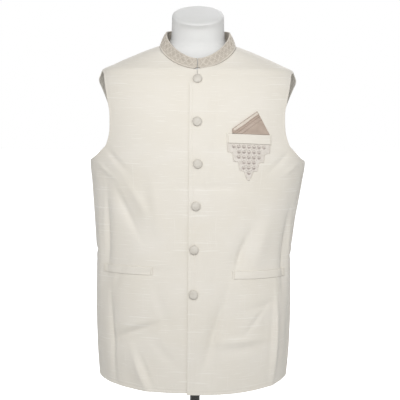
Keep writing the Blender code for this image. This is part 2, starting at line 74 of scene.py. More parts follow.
girthColumns = ("height", "halfWidth", "front", "back", "squareness", "sway")
girths = (
    (0.2000, 0.1980, 0.1300, 0.1180, 2.50, -0.0044),
    (0.2680, 0.2028, 0.1310, 0.1170, 2.50, -0.0044),
    (0.3540, 0.2052, 0.1310, 0.1160, 2.50, -0.0044),
    (0.4390, 0.2045, 0.1290, 0.1140, 2.40, -0.0044),
    (0.5240, 0.2098, 0.1280, 0.1160, 2.35, -0.0030),
    (0.5665, 0.2148, 0.1280, 0.1190, 2.30, -0.0010),
    (0.6080, 0.2200, 0.1275, 0.1220, 2.25, 0.0010),
    (0.6490, 0.2250, 0.1270, 0.1245, 2.20, 0.0020),
    (0.7000, 0.2240, 0.1245, 0.1255, 2.15, 0.0010),
    (0.7500, 0.2205, 0.1190, 0.1210, 2.15, 0.0000),
    (0.8000, 0.2155, 0.1050, 0.1110, 2.10, 0.0000),
    (0.8186, 0.2110, 0.0985, 0.1065, 2.05, 0.0000),
    (0.8300, 0.2050, 0.0930, 0.1020, 2.00, 0.0000),
    (0.8390, 0.1974, 0.0885, 0.0980, 2.00, 0.0000),
    (0.8500, 0.1736, 0.0797, 0.0915, 2.00, 0.0000),
    (0.8600, 0.1520, 0.0725, 0.0850, 2.00, 0.0000),
    (0.8680, 0.1334, 0.0685, 0.0805, 2.00, 0.0000),
    (0.8765, 0.1130, 0.0655, 0.0760, 2.00, 0.0000),
    (0.8850, 0.0905, 0.0620, 0.0720, 2.00, 0.0000),
    (0.8890, 0.0790, 0.0600, 0.0700, 2.00, 0.0000),
)

armholeColumns = ("height", "frontEdge", "backEdge")
armhole = (
    (0.6490, 90.0, 90.0),
    (0.6560, 74.0, 104.5),
    (0.6680, 64.2, 113.5),
    (0.6870, 55.4, 122.1),
    (0.7180, 52.4, 125.0),
    (0.7490, 53.2, 123.0),
    (0.7760, 56.6, 117.5),
    (0.8000, 60.6, 109.7),
    (0.8186, 65.5, 99.8),
    (0.8300, 71.4, 96.9),
    (0.8390, 90.0, 90.0),
)

# Large folds first, as the solids have them, then the finer creases that lie along and beside them
foldColumns = ("angle", "height", "lean", "halfLength", "halfWidth", "rise")
folds = (
    (-57.0, 0.500, 4.0, 0.090, 0.016, -0.0035),
    (-68.0, 0.480, 3.0, 0.100, 0.018, 0.0030),
    (-36.0, 0.550, -38.0, 0.060, 0.018, -0.0030),
    (-50.0, 0.290, -3.0, 0.090, 0.016, -0.0030),
    (-34.0, 0.300, 68.0, 0.055, 0.018, -0.0030),
    (-27.0, 0.225, -24.0, 0.045, 0.016, 0.0032),
    (25.0, 0.470, 22.0, 0.045, 0.015, -0.0040),
    (36.0, 0.480, 18.0, 0.050, 0.018, 0.0030),
    (64.0, 0.460, 2.0, 0.075, 0.018, -0.0045),
    (51.0, 0.290, 0.0, 0.085, 0.016, 0.0040),
    (9.0, 0.300, 12.0, 0.080, 0.017, -0.0030),
    (74.0, 0.280, 0.0, 0.080, 0.020, -0.0030),
    (112.0, 0.420, -4.0, 0.110, 0.020, -0.0035),
    (-115.0, 0.440, 5.0, 0.110, 0.020, -0.0035),
    (150.0, 0.330, 6.0, 0.100, 0.022, 0.0030),
    (-152.0, 0.320, -7.0, 0.100, 0.022, 0.0030),
    (176.0, 0.520, 84.0, 0.070, 0.018, -0.0025),
)
creases = (
    (-56.5, 0.505, 2.0, 0.062, 0.0055, -0.0012),
    (-60.0, 0.520, 5.0, 0.050, 0.0070, 0.0008),
    (-51.0, 0.300, -4.0, 0.075, 0.0060, -0.0012),
    (-47.5, 0.280, -2.0, 0.055, 0.0075, 0.0008),
    (-37.0, 0.545, -30.0, 0.048, 0.0070, -0.0010),
    (-30.0, 0.575, -34.0, 0.040, 0.0080, 0.0007),
    (-27.0, 0.232, -24.0, 0.034, 0.0060, 0.0011),
    (-23.5, 0.238, -22.0, 0.030, 0.0060, -0.0010),
    (-33.0, 0.308, 71.0, 0.046, 0.0050, -0.0010),
    (-31.0, 0.321, 72.0, 0.044, 0.0080, 0.0007),
    (-19.5, 0.570, -10.0, 0.045, 0.0100, 0.0005),
    (-24.0, 0.565, -10.0, 0.045, 0.0085, -0.0005),
    (24.0, 0.294, 88.0, 0.048, 0.0065, 0.0008),
    (25.5, 0.280, 86.0, 0.036, 0.0090, -0.0008),
    (33.5, 0.330, 42.0, 0.030, 0.0055, -0.0009),
    (5.0, 0.270, 10.0, 0.040, 0.0110, -0.0007),
    (9.0, 0.603, 88.0, 0.042, 0.0080, -0.0005),
    (20.0, 0.400, -14.0, 0.040, 0.0100, 0.0005),
    (-12.0, 0.270, -40.0, 0.035, 0.0090, -0.0006),
    (-44.0, 0.420, 30.0, 0.035, 0.0080, -0.0006),
    (-14.0, 0.360, -16.0, 0.050, 0.0090, -0.0006),
    (24.0, 0.470, 16.0, 0.032, 0.0048, -0.0017),
    (29.0, 0.480, 19.0, 0.034, 0.0065, 0.0009),
    (8.5, 0.316, 13.0, 0.066, 0.0055, -0.0015),
    (12.0, 0.300, 10.0, 0.050, 0.0070, 0.0008),
    (52.0, 0.292, 0.0, 0.078, 0.0060, 0.0013),
    (47.5, 0.300, 2.0, 0.070, 0.0065, -0.0010),
    (62.0, 0.468, 3.0, 0.055, 0.0060, -0.0013),
    (70.0, 0.500, -8.0, 0.040, 0.0070, 0.0008),
    (46.0, 0.652, 52.0, 0.030, 0.0070, -0.0009),
    (-46.0, 0.655, -50.0, 0.034, 0.0070, -0.0009),
    (56.0, 0.636, 64.0, 0.026, 0.0060, 0.0008),
    (-57.0, 0.634, -62.0, 0.026, 0.0060, 0.0008),
    (38.0, 0.360, 76.0, 0.034, 0.0080, -0.0007),
    (-22.0, 0.430, 82.0, 0.030, 0.0080, -0.0006),
    (84.0, 0.452, 84.0, 0.032, 0.0070, -0.0012),
    (95.0, 0.474, 96.0, 0.030, 0.0070, -0.0010),
    (-86.0, 0.462, 96.0, 0.034, 0.0070, -0.0012),
    (-97.0, 0.440, 86.0, 0.028, 0.0065, -0.0010),
    (80.0, 0.610, 20.0, 0.045, 0.0080, -0.0010),
    (-79.0, 0.612, -18.0, 0.045, 0.0080, -0.0010),
    (113.0, 0.410, -5.0, 0.080, 0.0065, -0.0012),
    (-116.0, 0.430, 6.0, 0.080, 0.0065, -0.0012),
    (132.0, 0.540, -30.0, 0.060, 0.0080, -0.0010),
    (-130.0, 0.545, 34.0, 0.058, 0.0080, -0.0010),
    (150.0, 0.300, 7.0, 0.080, 0.0070, 0.0011),
    (-151.0, 0.310, -8.0, 0.085, 0.0070, 0.0011),
    (171.0, 0.512, 80.0, 0.052, 0.0070, -0.0010),
    (-170.0, 0.536, 97.0, 0.046, 0.0070, -0.0009),
    (164.0, 0.470, 74.0, 0.042, 0.0075, 0.0008),
    (-163.0, 0.480, 102.0, 0.040, 0.0075, -0.0008),
    (178.0, 0.822, 90.0, 0.046, 0.0080, -0.0008),
    (140.0, 0.700, 40.0, 0.050, 0.0090, -0.0008),
    (-139.0, 0.706, -38.0, 0.052, 0.0090, -0.0008),
    (180.0, 0.255, 4.0, 0.060, 0.0090, -0.0008),
)


def column(rows, columns, name):
    return np.array([row[columns.index(name)] for row in rows], float)


def eased(at, places, values):
    # smooth curve through the values that never overshoots them
    steps = np.diff(places)
    slopes = np.diff(values) / steps
    tangents = np.empty(len(values))
    tangents[0], tangents[-1] = slopes[0], slopes[-1]
    for i in range(1, len(values) - 1):
        before, after = slopes[i - 1], slopes[i]
        if before * after <= 0:
            tangents[i] = 0
        else:
            one = 2 * steps[i] + steps[i - 1]
            two = steps[i] + 2 * steps[i - 1]
            tangents[i] = (one + two) / (one / before + two / after)
    at = np.clip(at, places[0], places[-1])
    i = np.clip(np.searchsorted(places, at, side="right") - 1, 0, len(steps) - 1)
    t = (at - places[i]) / steps[i]
    rise = values[i + 1] - values[i]
    start, end = tangents[i] * steps[i], tangents[i + 1] * steps[i]
    return values[i] + t * (start + t * (3 * rise - 2 * start - end + t * (start + end - 2 * rise)))


def smooth(low, high, at):
    t = np.clip((at - low) / (high - low), 0, 1)
    return t * t * (3 - 2 * t)


def girth(name, height):
    return eased(height, column(girths, girthColumns, "height"), column(girths, girthColumns, name))


def power(value, exponent):
    return np.sign(value) * np.abs(value) ** exponent


def angleAt(x, height):
    share = np.clip((x - girth("sway", height)) / girth("halfWidth", height), -1, 1)
    return np.degrees(np.arcsin(power(share, girth("squareness", height) / 2)))


def barePoint(height, angle, side):
    # the cloth without folds; its hem dips at the centre front
    turn = np.radians(angle)
    bow = 2 / girth("squareness", height)
    front = np.cos(turn) > 0
    depth = np.where(front, girth("front", height), girth("back", height))
    x = girth("sway", height) + girth("halfWidth", height) * power(np.sin(turn), bow)
    y = -depth * power(np.cos(turn), bow)
    dip = garment["hemDip"][side] * smooth(garment["hemFade"], garment["hem"], height)
    return np.stack([x, y, height - dip * np.where(front, np.cos(turn) ** 2, 0)], axis=-1)


def outward(height, angle, side, rise=0.0015, turn=1.0):
    low = np.clip(height - rise, garment["hem"], garment["neckSide"])
    high = np.clip(height + rise, garment["hem"], garment["neckSide"])
    rising = barePoint(high, angle, side) - barePoint(low, angle, side)
    across = barePoint(height, angle + turn, side) - barePoint(height, angle - turn, side)
    normal = np.cross(across, rising)
    return normal / np.linalg.norm(normal, axis=-1, keepdims=True)


def foldRise(height, angle, rows):
    total = np.zeros(np.shape(angle))
    for row in rows:
        fold = dict(zip(foldColumns, row))
        turn = (angle - fold["angle"] + 180) % 360 - 180
        across = np.radians(turn) * garment["girthPerRadian"]
        above = height - fold["height"]
        lean = math.radians(fold["lean"])
        along = above * math.cos(lean) + across * math.sin(lean)
        aside = across * math.cos(lean) - above * math.sin(lean)
        total += fold["rise"] * np.exp(-((along / fold["halfLength"]) ** 2) - (aside / fold["halfWidth"]) ** 2)
    return total


def unevenness(height, angle):
    # slow, shallow waves of cloth that no iron makes quite flat
    turn = np.radians(angle)
    waves = np.sin(5 * turn + 9 * height) * np.cos(13 * height + 1) + np.sin(11 * turn - 17 * height + 2)
    return 0.00040 * waves * smooth(garment["shoulderTip"], 0.70, height)


def cloth(height, angle, lift=0.0, side=1):
    height, angle = np.broadcast_arrays(np.asarray(height, float), np.asarray(angle, float))
    folded = foldRise(height, angle, folds) * garment["foldDepth"]
    creased = foldRise(height, angle, creases) * garment["creaseDepth"]
    rise = folded + creased + unevenness(height, angle) + lift
    return barePoint(height, angle, side) + outward(height, angle, side) * rise[..., None]


def neckAngle(height, grow=0.0):
    bow = garment["neckPower"]
    share = np.clip((garment["neckSide"] - height) / (garment["neckDrop"] + grow), 0, 1)
    x = (garment["neckHalfWidth"] + grow) * (1 - share**bow) ** (1 / bow)
    return angleAt(np.minimum(x, girth("halfWidth", height)), height)


def lapEdge(height):
    width = garment["lapWidth"]
    return width - (width + garment["seamGap"]) * smooth(*garment["lapTop"], height)


def edgeAngles(height):
    heights = column(armhole, armholeColumns, "height")
    front = eased(height, heights, column(armhole, armholeColumns, "frontEdge"))
    back = eased(height, heights, column(armhole, armholeColumns, "backEdge"))
    share = (0.5 * garment["seamGap"] / girth("front", height)) ** (girth("squareness", height) / 2)
    gap = np.degrees(share)
    return np.minimum(front, 90 - gap), np.maximum(back, 90 + gap)


def roundness(distance, radius=None):
    # share of the full thickness at a distance from a turned edge
    radius = radius or garment["edgeRound"]
    t = 1 - np.clip(distance / radius, 0, 1)
    return garment["edgeThin"] + (1 - garment["edgeThin"]) * np.sqrt(1 - t * t)


def meshOf(name, points, faces, finish, pattern=None):
    mesh = bpy.data.meshes.new(name)
    mesh.from_pydata(np.asarray(points, float).reshape(-1, 3).tolist(), [], [list(map(int, f)) for f in faces])
    if pattern is not None:
        layer = mesh.uv_layers.new(name="cut")
        corners = np.empty(len(mesh.loops), np.int32)
        mesh.loops.foreach_get("vertex_index", corners)
        layer.uv.foreach_set("vector", np.asarray(pattern, np.float32).reshape(-1, 2)[corners].ravel())
    mesh.shade_smooth()
    mesh.materials.append(finish)
    made = bpy.data.objects.new(name, mesh)
    bpy.context.scene.collection.objects.link(made)
    return made


def quadsOf(numbers):
    return np.stack([numbers[:-1, :-1], numbers[:-1, 1:], numbers[1:, 1:], numbers[1:, :-1]], -1).reshape(-1, 4)


def turnedMesh(name, grid, finish):
    # rings of points, each closed, with a flat face at both ends
    rows, sides = grid.shape[:2]
    numbers = np.arange(rows * sides).reshape(rows, sides)
    numbers = np.concatenate([numbers, numbers[:, :1]], axis=1)
    faces = quadsOf(numbers).tolist() + [numbers[0, -2::-1].tolist(), numbers[-1, :-1].tolist()]
    return meshOf(name, grid, faces, finish)


def shell(name, outer, inner, finish, pattern):
    # closed wall between two grids of points; pattern is the cloth's own flat place of each point, in metres
    rows, columns = outer.shape[:2]
    numbers = np.arange(rows * columns).reshape(rows, columns)
    quads = quadsOf(numbers)
    faces = [quads, quads[:, ::-1] + rows * columns]
    for edge in (numbers[0, ::-1], numbers[-1], numbers[:, 0], numbers[::-1, -1]):
        one, two = edge[:-1], edge[1:]
        faces.append(np.stack([one, two, two + rows * columns, one + rows * columns], -1))
    points = np.concatenate([outer.reshape(-1, 3), inner.reshape(-1, 3)])
    flat = np.concatenate([pattern.reshape(-1, 2)] * 2)
    made = meshOf(name, points, np.concatenate(faces), finish, flat)
    facing = np.cross(outer[1, 1] - outer[0, 1], outer[0, 1] - outer[0, 0])
    if np.dot(facing, outer[0, 1] - inner[0, 1] + (outer[1, 1] - inner[1, 1])) > 0:
        made.data.flip_normals()
    return made


def threads(name, stitches, finish):
    # many small stitches in one mesh: each a rounded lens of thread from a to b, its foot on the cloth
    points, faces = [], []
    sides = 5
    for a, b, up, width, rise in stitches:
        a, b = np.asarray(a, float), np.asarray(b, float)
        along = b - a
        across = np.cross(up, along)
        across /= np.linalg.norm(across) or 1
        first = len(points)
        points.append(a)
        for share in (0.22, 0.78):
            centre = a + along * share
            for i in range(sides):
                turn = 2 * math.pi * i / sides
                over = (math.sin(turn) + 0.6) * rise / 1.6
                points.append(centre + across * math.cos(turn) * width / 2 + up * over)
        points.append(b)
        for i in range(sides):
            j = (i + 1) % sides
            faces.append((first, first + 1 + i, first + 1 + j))
            faces.append((first + 1 + i, first + 1 + sides + i, first + 1 + sides + j))
            faces.append((first + 1 + i, first + 1 + sides + j, first + 1 + j))
            faces.append((first + 1 + 2 * sides, first + 1 + sides + j, first + 1 + sides + i))
    return meshOf(name, points, faces, finish)


def alongLine(line, ups, pitch, length, width, rise):
    # stitches of one length and pitch along a line of points
    steps = np.r_[0, np.cumsum(np.linalg.norm(np.diff(line, axis=0), axis=1))]
    starts = np.arange(pitch / 2, steps[-1] - length, pitch)

    def at(distance, values):
        return np.stack([np.interp(distance, steps, values[:, k]) for k in range(3)], -1)

    normals = at(starts + length / 2, ups)
    normals /= np.linalg.norm(normals, axis=1, keepdims=True)
    return [
        (a, b, up, width, rise)
        for a, b, up in zip(at(starts, line), at(starts + length, line), normals)
    ]


class Wire:
    # a node's output, whose arithmetic adds Math nodes
    def __init__(self, finish, socket):
        self.finish = finish
        self.socket = socket

    def maths(self, operation, *values):
        return self.finish.add("Math", {"operation": operation}, dict(enumerate(values)))

    def __add__(self, other):
        return self.maths("ADD", self, other)

    def __radd__(self, other):
        return self.maths("ADD", other, self)

    def __sub__(self, other):
        return self.maths("SUBTRACT", self, other)

    def __rsub__(self, other):
        return self.maths("SUBTRACT", other, self)

    def __mul__(self, other):
        return self.maths("MULTIPLY", self, other)

    def sine(self):
        return self.maths("SINE", self)


class Finish:
    # one procedural material
    def __init__(self, name, **settings):
        self.material = bpy.data.materials.new(name)
        self.material.use_nodes = True
        self.tree = self.material.node_tree
        self.shader = self.tree.nodes["Principled BSDF"]
        for socket, value in settings.items():
            self.shader.inputs[socket.replace("_", " ")].default_value = value

    def feed(self, socket, value):
        if isinstance(value, Wire):
            self.tree.links.new(value.socket, socket)
        else:
            socket.default_value = value

    def add(self, kind, settings, values, output=0):
        made = self.tree.nodes.new("ShaderNode" + kind)
        for name, value in settings.items():
            if name == "stops":
                ramp = made.color_ramp.elements
                for element, (place, grey) in zip(ramp, value):
                    element.position = place
                    element.color = (grey, grey, grey, 1)
            else:
                setattr(made, name, value)
        for name, value in values.items():
            self.feed(made.inputs[name], value)
        return Wire(self, made.outputs[output])

    def place(self):
        # the flat place on the cut cloth, in metres
        return self.add("UVMap", {"uv_map": "cut"}, {})

    def inSpace(self):
        return self.add("TexCoord", {}, {}, "Object")

    def parts(self, vector):
        return [self.add("SeparateXYZ", {}, {0: vector}, axis) for axis in "XYZ"]

    def noise(self, place, scale, detail=2.0, roughness=0.5):
        stretched = self.add("VectorMath", {"operation": "MULTIPLY"}, {0: place, 1: scale})
        values = {"Vector": stretched, "Scale": 1.0, "Detail": detail, "Roughness": roughness}
        return self.add("TexNoise", {}, values, "Fac")

    def above(self, value, low, high):
        return self.add("ValToRGB", {"stops": ((low, 0.0), (high, 1.0))}, {"Fac": value})

    def blend(self, share, one, two):
        return self.add("Mix", {"data_type": "RGBA"}, {0: share, 6: one, 7: two}, 2)

    def colour(self, value):
        self.feed(self.shader.inputs["Base Color"], value)

    def rough(self, value):
        self.feed(self.shader.inputs["Roughness"], value)

    def relief(self, height, distance, strength=1.0):
        bump = self.add("Bump", {}, {"Height": height, "Distance": distance, "Strength": strength}, "Normal")
        self.feed(self.shader.inputs["Normal"], bump)


def tone(red, green, blue):
    # a colour as it is seen on screen, from 0 to 255, made linear
    def linear(value):
        value /= 255
        return value / 12.92 if value <= 0.04045 else ((value + 0.055) / 1.055) ** 2.4

    return (linear(red), linear(green), linear(blue), 1)


# Slubbed cream suiting: a plain weave with thicker, paler stretches of thread
suiting = {
    "ground": tone(233, 229, 222),
    "shade": tone(224, 218, 205),
    "slub": tone(243, 240, 232),
    "bright": tone(252, 250, 245),
    "pitch": 0.00052,
    "slubAcross": (26.0, 620.0, 1.0),
    "slubDown": (560.0, 17.0, 1.0),
    "slubFrom": (0.60, 0.72),
    "longSlub": (9.0, 235.0, 1.0),
    "longSlubFrom": (0.67, 0.72),
    "longDrop": (250.0, 7.0, 1.0),
    "longDropFrom": (0.73, 0.77),
    "slubDownFrom": (0.66, 0.76),
    "cloudy": (9.0, 14.0, 1.0),
    "grain": (420.0, 900.0, 1.0),
    "relief": 0.00022,
}


def creamSuiting():
    sheen = {"Sheen_Weight": 0.30, "Sheen_Roughness": 0.42}
    made = Finish("creamSuiting", Roughness=0.72, Specular_IOR_Level=0.32, **sheen)
    place = made.place()
    across, down, _ = made.parts(place)
    slubs = made.above(made.noise(place, suiting["slubAcross"], 3.0), *suiting["slubFrom"])
    drops = made.above(made.noise(place, suiting["slubDown"], 3.0), *suiting["slubDownFrom"])
    cloudy = made.noise(place, suiting["cloudy"], 3.0)
    grain = made.noise(place, suiting["grain"], 2.0)
    turn = 2 * math.pi / suiting["pitch"]
    weave = (across * turn).sine() * (down * turn).sine()
    ground = made.blend(cloudy, suiting["shade"], suiting["ground"])
    ground = made.blend(grain * 0.30, ground, suiting["shade"])
    longer = made.above(made.noise(place, suiting["longSlub"], 1.0), *suiting["longSlubFrom"])
    longDrops = made.above(made.noise(place, suiting["longDrop"], 1.0), *suiting["longDropFrom"])
    thick = longer + longDrops * 0.5
    ground = made.blend(slubs * 0.55, ground, suiting["slub"])
    ground = made.blend(thick * 0.24, ground, suiting["bright"])
    made.colour(made.blend(drops * 0.35, ground, suiting["slub"]))
    made.rough(0.74 - slubs * 0.14 - thick * 0.10 + grain * 0.06)
    made.relief(weave * 0.30 + slubs * 0.8 + thick + drops * 0.5 + grain * 0.4, suiting["relief"], 0.6)
    return made.material


def needleCloth(name, ground, shade):
    # fine even ground under the embroidery
    made = Finish(name, Roughness=0.7, Sheen_Weight=0.25, Sheen_Roughness=0.4, Specular_IOR_Level=0.35)
    place = made.place()
    across, down, _ = made.parts(place)
    turn = 2 * math.pi / 0.0007
    weave = (across * turn).sine() * (down * turn).sine()
    cloudy = made.noise(place, (120.0, 160.0, 1.0), 3.0)
    made.colour(made.blend(made.above(cloudy, 0.35, 0.65), shade, ground))
    made.rough(0.72 - cloudy * 0.12)
    made.relief(weave * 0.5 + cloudy, 0.00025, 0.6)
    return made.material


def silkThread(name, colour, deep):
    made = Finish(name, Roughness=0.38, Sheen_Weight=0.3, Sheen_Roughness=0.35, Specular_IOR_Level=0.5)
    place = made.inSpace()
    strand = made.noise(place, (900.0, 900.0, 900.0), 2.0)
    made.colour(made.blend(made.above(strand, 0.35, 0.70), deep, colour))
    made.rough(0.34 + strand * 0.16)
    made.relief(strand, 0.00008, 0.5)
    return made.material


def satin(name, ground, glow, shade, pitch=0.00045):
    # close twill lines with a soft gloss
    made = Finish(name, Roughness=0.42, Sheen_Weight=0.35, Sheen_Roughness=0.3, Specular_IOR_Level=0.5)
    place = made.place()
    across, down, _ = made.parts(place)
    twill = ((across + down) * (2 * math.pi / pitch)).sine()
    drift = made.noise(place, (60.0, 90.0, 1.0), 2.0)
    fine = made.noise(place, (1500.0, 300.0, 1.0), 2.0)
    ground = made.blend(made.above(drift, 0.3, 0.7), shade, ground)
    made.colour(made.blend(fine * 0.35, ground, glow))
    made.rough(0.36 + drift * 0.16)
    made.relief(twill * 0.4 + fine * 0.5, 0.00010, 0.6)
    return made.material


def formShell():
    # smooth moulded shell with the faintest orange-peel and hand marks
    made = Finish("formShell", Roughness=0.5, Coat_Weight=0.04, Coat_Roughness=0.35, Specular_IOR_Level=0.3)
    place = made.inSpace()
    marks = made.noise(place, (14.0, 14.0, 9.0), 4.0)
    peel = made.noise(place, (260.0, 260.0, 260.0), 2.0)
    made.colour(made.blend(made.above(marks, 0.35, 0.70), tone(221, 221, 219), tone(227, 227, 226)))
    made.rough(0.46 + marks * 0.12)
    made.relief(peel + marks * 0.5, 0.00012, 0.5)
    return made.material


def standMetal():
    # black powder coat: fine pebbled skin, a little dust on the flat top
    made = Finish("standMetal", Roughness=0.5, Metallic=0.0, Specular_IOR_Level=0.5)
    place = made.inSpace()
    pebble = made.noise(place, (900.0, 900.0, 900.0), 2.0)
    dust = made.noise(place, (22.0, 22.0, 22.0), 4.0)
    made.colour(made.blend(made.above(dust, 0.45, 0.80) * 0.5, tone(48, 46, 44), tone(74, 71, 68)))
    made.rough(0.42 + pebble * 0.18 + dust * 0.08)
    made.relief(pebble, 0.00010, 0.7)
    return made.material


cream = creamSuiting()
bandGround = needleCloth("bandGround", tone(206, 198, 186), tone(192, 183, 170))
bandThread = silkThread("bandThread", tone(238, 232, 223), tone(216, 208, 196))
bandDeepThread = silkThread("bandDeepThread", tone(184, 173, 158), tone(162, 151, 136))
patchGround = needleCloth("patchGround", tone(224, 218, 210), tone(213, 206, 197))
patchThread = silkThread("patchThread", tone(238, 233, 224), tone(218, 210, 199))
patchGreyThread = silkThread("patchGreyThread", tone(194, 183, 176), tone(174, 162, 156))
seamThread = silkThread("seamThread", tone(236, 230, 218), tone(218, 211, 197))
taupe = satin("taupeSatin", tone(178, 160, 146), tone(199, 183, 170), tone(163, 145, 131))
buttonSatin = satin("buttonSatin", tone(208, 203, 193), tone(222, 218, 210), tone(194, 188, 177), 0.0005)
formWhite = formShell()
standBlack = standMetal()
print("finishes made")

panels = {
    "rows": ((0.2095, 0.6485, 138), (0.6485, 0.6700, 26), (0.6700, 0.8180, 46), (0.8180, 0.8398, 24)),
    "neckRows": 34,
    "frontColumns": 84,
    "backColumns": 140,
    "rimWidth": 0.0095,
    "rimSteps": (0, 0.03, 0.12, 0.3, 0.6),
    "typicalWidth": 0.27,
}
seamStitch = {"pitch": 0.0046, "length": 0.0027, "width": 0.00055, "rise": 0.00032}
rim = np.r_[
    garment["edgeRound"] * np.array(panels["rimSteps"]),
    np.linspace(garment["edgeRound"], panels["rimWidth"], 11),
]
stitchLine = int(np.argmin(np.abs(rim - garment["stitchInset"])))


def rowHeights(top):
    rows = [garment["hem"] + rim[:-1]]
    rows += [np.linspace(low, high, count, endpoint=False) for low, high, count in panels["rows"]]
    drop, bow = garment["neckDrop"] + garment["edgeGap"], 2 / garment["neckPower"]
    turns = np.linspace(0, math.pi / 2, panels["neckRows"])
    neck = garment["neckSide"] - drop * np.cos(turns) ** bow
    neck = neck[(neck > panels["rows"][-1][1]) & (neck < top - 0.0004)]
    return np.r_[np.concatenate(rows), neck, top]


def spread(columns, width):
    # shares across a panel, close together at both edges
    near = rim / width
    return np.r_[near, np.linspace(near[-1], 1 - near[-1], columns)[1:-1], 1 - near[::-1]]


def panel(name, heights, start, end, shares, side, lap=0.0, stitched=(True, True)):
    angles = start[:, None] * (1 - shares) + end[:, None] * shares
    levels = np.repeat(heights[:, None], len(shares), axis=1)
    x = barePoint(levels, angles, side)[..., 0]
    lift = lap * (1 - smooth(*garment["lapEase"], x))
    middle = cloth(levels, angles, lift - garment["wall"] / 2, side)
    normals = outward(levels, angles, side)
    steps = np.linalg.norm(np.diff(middle, axis=1), axis=2)
    across = np.concatenate([np.zeros((len(heights), 1)), np.cumsum(steps, axis=1)], axis=1)
    fromEnd = across[:, -1:] - across
    nearest = np.minimum(np.minimum(across, fromEnd), levels - garment["hem"])
    half = garment["wall"] / 2 * roundness(nearest)
    openRows = (heights > garment["underarm"] + 0.002) & (heights < garment["shoulderTip"] - 0.002)
    inset, width = garment["stitchInset"], garment["grooveWidth"]
    groove = np.exp(-(((levels - garment["hem"] - inset) / width) ** 2))
    for distance, there in ((across, stitched[0]), (fromEnd, stitched[1])):
        rows = np.ones(len(heights), bool) if there == "all" else openRows & bool(there)
        groove = np.maximum(groove, np.exp(-(((distance - inset) / width) ** 2)) * rows[:, None])
    outer = middle + normals * (half - garment["stitchGroove"] * groove)[..., None]
    inner = middle - normals * half[..., None]
    pattern = np.stack([across - across[:, len(shares) // 2][:, None], levels], -1)
    made = shell(name, outer, inner, cream, pattern)
    lines = [(slice(stitchLine, stitchLine + 1), slice(stitchLine, -stitchLine - 1))]
    for place, there in ((stitchLine, stitched[0]), (-1 - stitchLine, stitched[1])):
        rows = np.nonzero(np.ones(len(heights), bool) if there == "all" else openRows & bool(there))[0]
        rows = rows[rows >= stitchLine]
        if len(rows):
            lines.append((rows, place))
    stitches = []
    for rows, columns in lines:
        line, ups = (points[rows, columns].reshape(-1, 3) for points in (outer, normals))
        stitches += alongLine(line, ups, **seamStitch)
    return made, threads(name + "Stitching", stitches, seamThread)


def front(name, side, lap):
    heights = rowHeights(garment["neckSide"] - garment["frontTopGap"])
    neckBottom = garment["neckSide"] - garment["neckDrop"] - garment["edgeGap"]
    below = side * angleAt(-side * lapEdge(heights), heights)
    above = side * angleAt(side * garment["seamGap"], heights)
    start = np.where(heights < neckBottom, below, np.maximum(above, neckAngle(heights, garment["edgeGap"])))
    end, _ = edgeAngles(heights)
    shares = spread(panels["frontColumns"], panels["typicalWidth"])
    return panel(name, heights, side * start, side * end, shares, side, lap, ("all", True))


def back():
    heights = rowHeights(garment["neckSide"] - garment["edgeGap"])
    _, start = edgeAngles(heights)
    shares = spread(panels["backColumns"], 2 * panels["typicalWidth"])
    return panel("backPanel", heights, start, 360 - start, shares, 1)


leftFront, leftStitching = front("leftFront", 1, garment["lapLift"])
rightFront, rightStitching = front("rightFront", -1, 0.0)
backPanel, backStitching = back()
print("fronts and back made")

collar = {
    "wall": 0.0028,
    "end": 0.0008,
    "topSide": 0.9180,
    "topDrop": 0.0560,
    "topRise": 0.0060,
    "topHalfWidth": 0.0660,
    "topFront": 0.0760,
    "topBack": 0.0620,
    "crown": 0.0009,
    "edgeRound": 0.0014,
    "notch": 0.0052,
    "notchReach": 0.0040,
    "columns": 300,
    "nearEdge": np.array((0, 0.004, 0.012, 0.028, 0.050)),
}


def collarEdges(turn):
    # bottom and top point of the outer face; turn is 0 at the front and 180 at the back
    across, ahead = math.sin(math.radians(abs(turn))), math.cos(math.radians(turn))
    side = 1 if turn > 0 else -1
    if ahead > 0:
        bow = 2 / garment["neckPower"]
        height = garment["neckSide"] - garment["neckDrop"] * ahead**bow
        x = garment["neckHalfWidth"] * across**bow
        bottom = cloth(height, side * angleAt(x, np.array(height)))
        topX = collar["topHalfWidth"] * across**bow
        topY = -collar["topFront"] * (1 - (topX / collar["topHalfWidth"]) ** 2) ** 0.5
        topZ = collar["topSide"] - collar["topDrop"] * ahead**bow
    else:
        bottom = cloth(garment["neckSide"], turn)
        topX = collar["topHalfWidth"] * across
        topY = -collar["topBack"] * ahead
        topZ = collar["topSide"] - collar["topRise"] * ahead
    return np.array(bottom), np.array((side * topX, topY, topZ))


collarEnd = math.degrees(math.asin((collar["end"] / garment["neckHalfWidth"]) ** (garment["neckPower"] / 2)))
collarTurns = np.linspace(collarEnd, 360 - collarEnd, collar["columns"] + 1)
collarTurns = np.where(collarTurns > 180, collarTurns - 360, collarTurns)
collarLow, collarHigh = (np.array(edge) for edge in zip(*[collarEdges(turn) for turn in collarTurns]))
collarMiddle = (collarLow + collarHigh) / 2
collarReach = np.r_[0, np.cumsum(np.linalg.norm(np.diff(collarMiddle, axis=0), axis=1))]
collarOut = np.cross(np.gradient(collarMiddle, axis=0), collarHigh - collarLow)
collarOut /= np.linalg.norm(collarOut, axis=1, keepdims=True)
collarLength = collarReach[-1]
collarHeight = float(np.mean(np.linalg.norm(collarHigh - collarLow, axis=1)))


def collarFoot(distance):
    # the lower front corners are cut back a little, so a small dark notch shows between them
    near = np.minimum(distance, collarLength - distance)
    return collar["notch"] * np.exp(-((near / collar["notchReach"]) ** 2)) / collarHeight


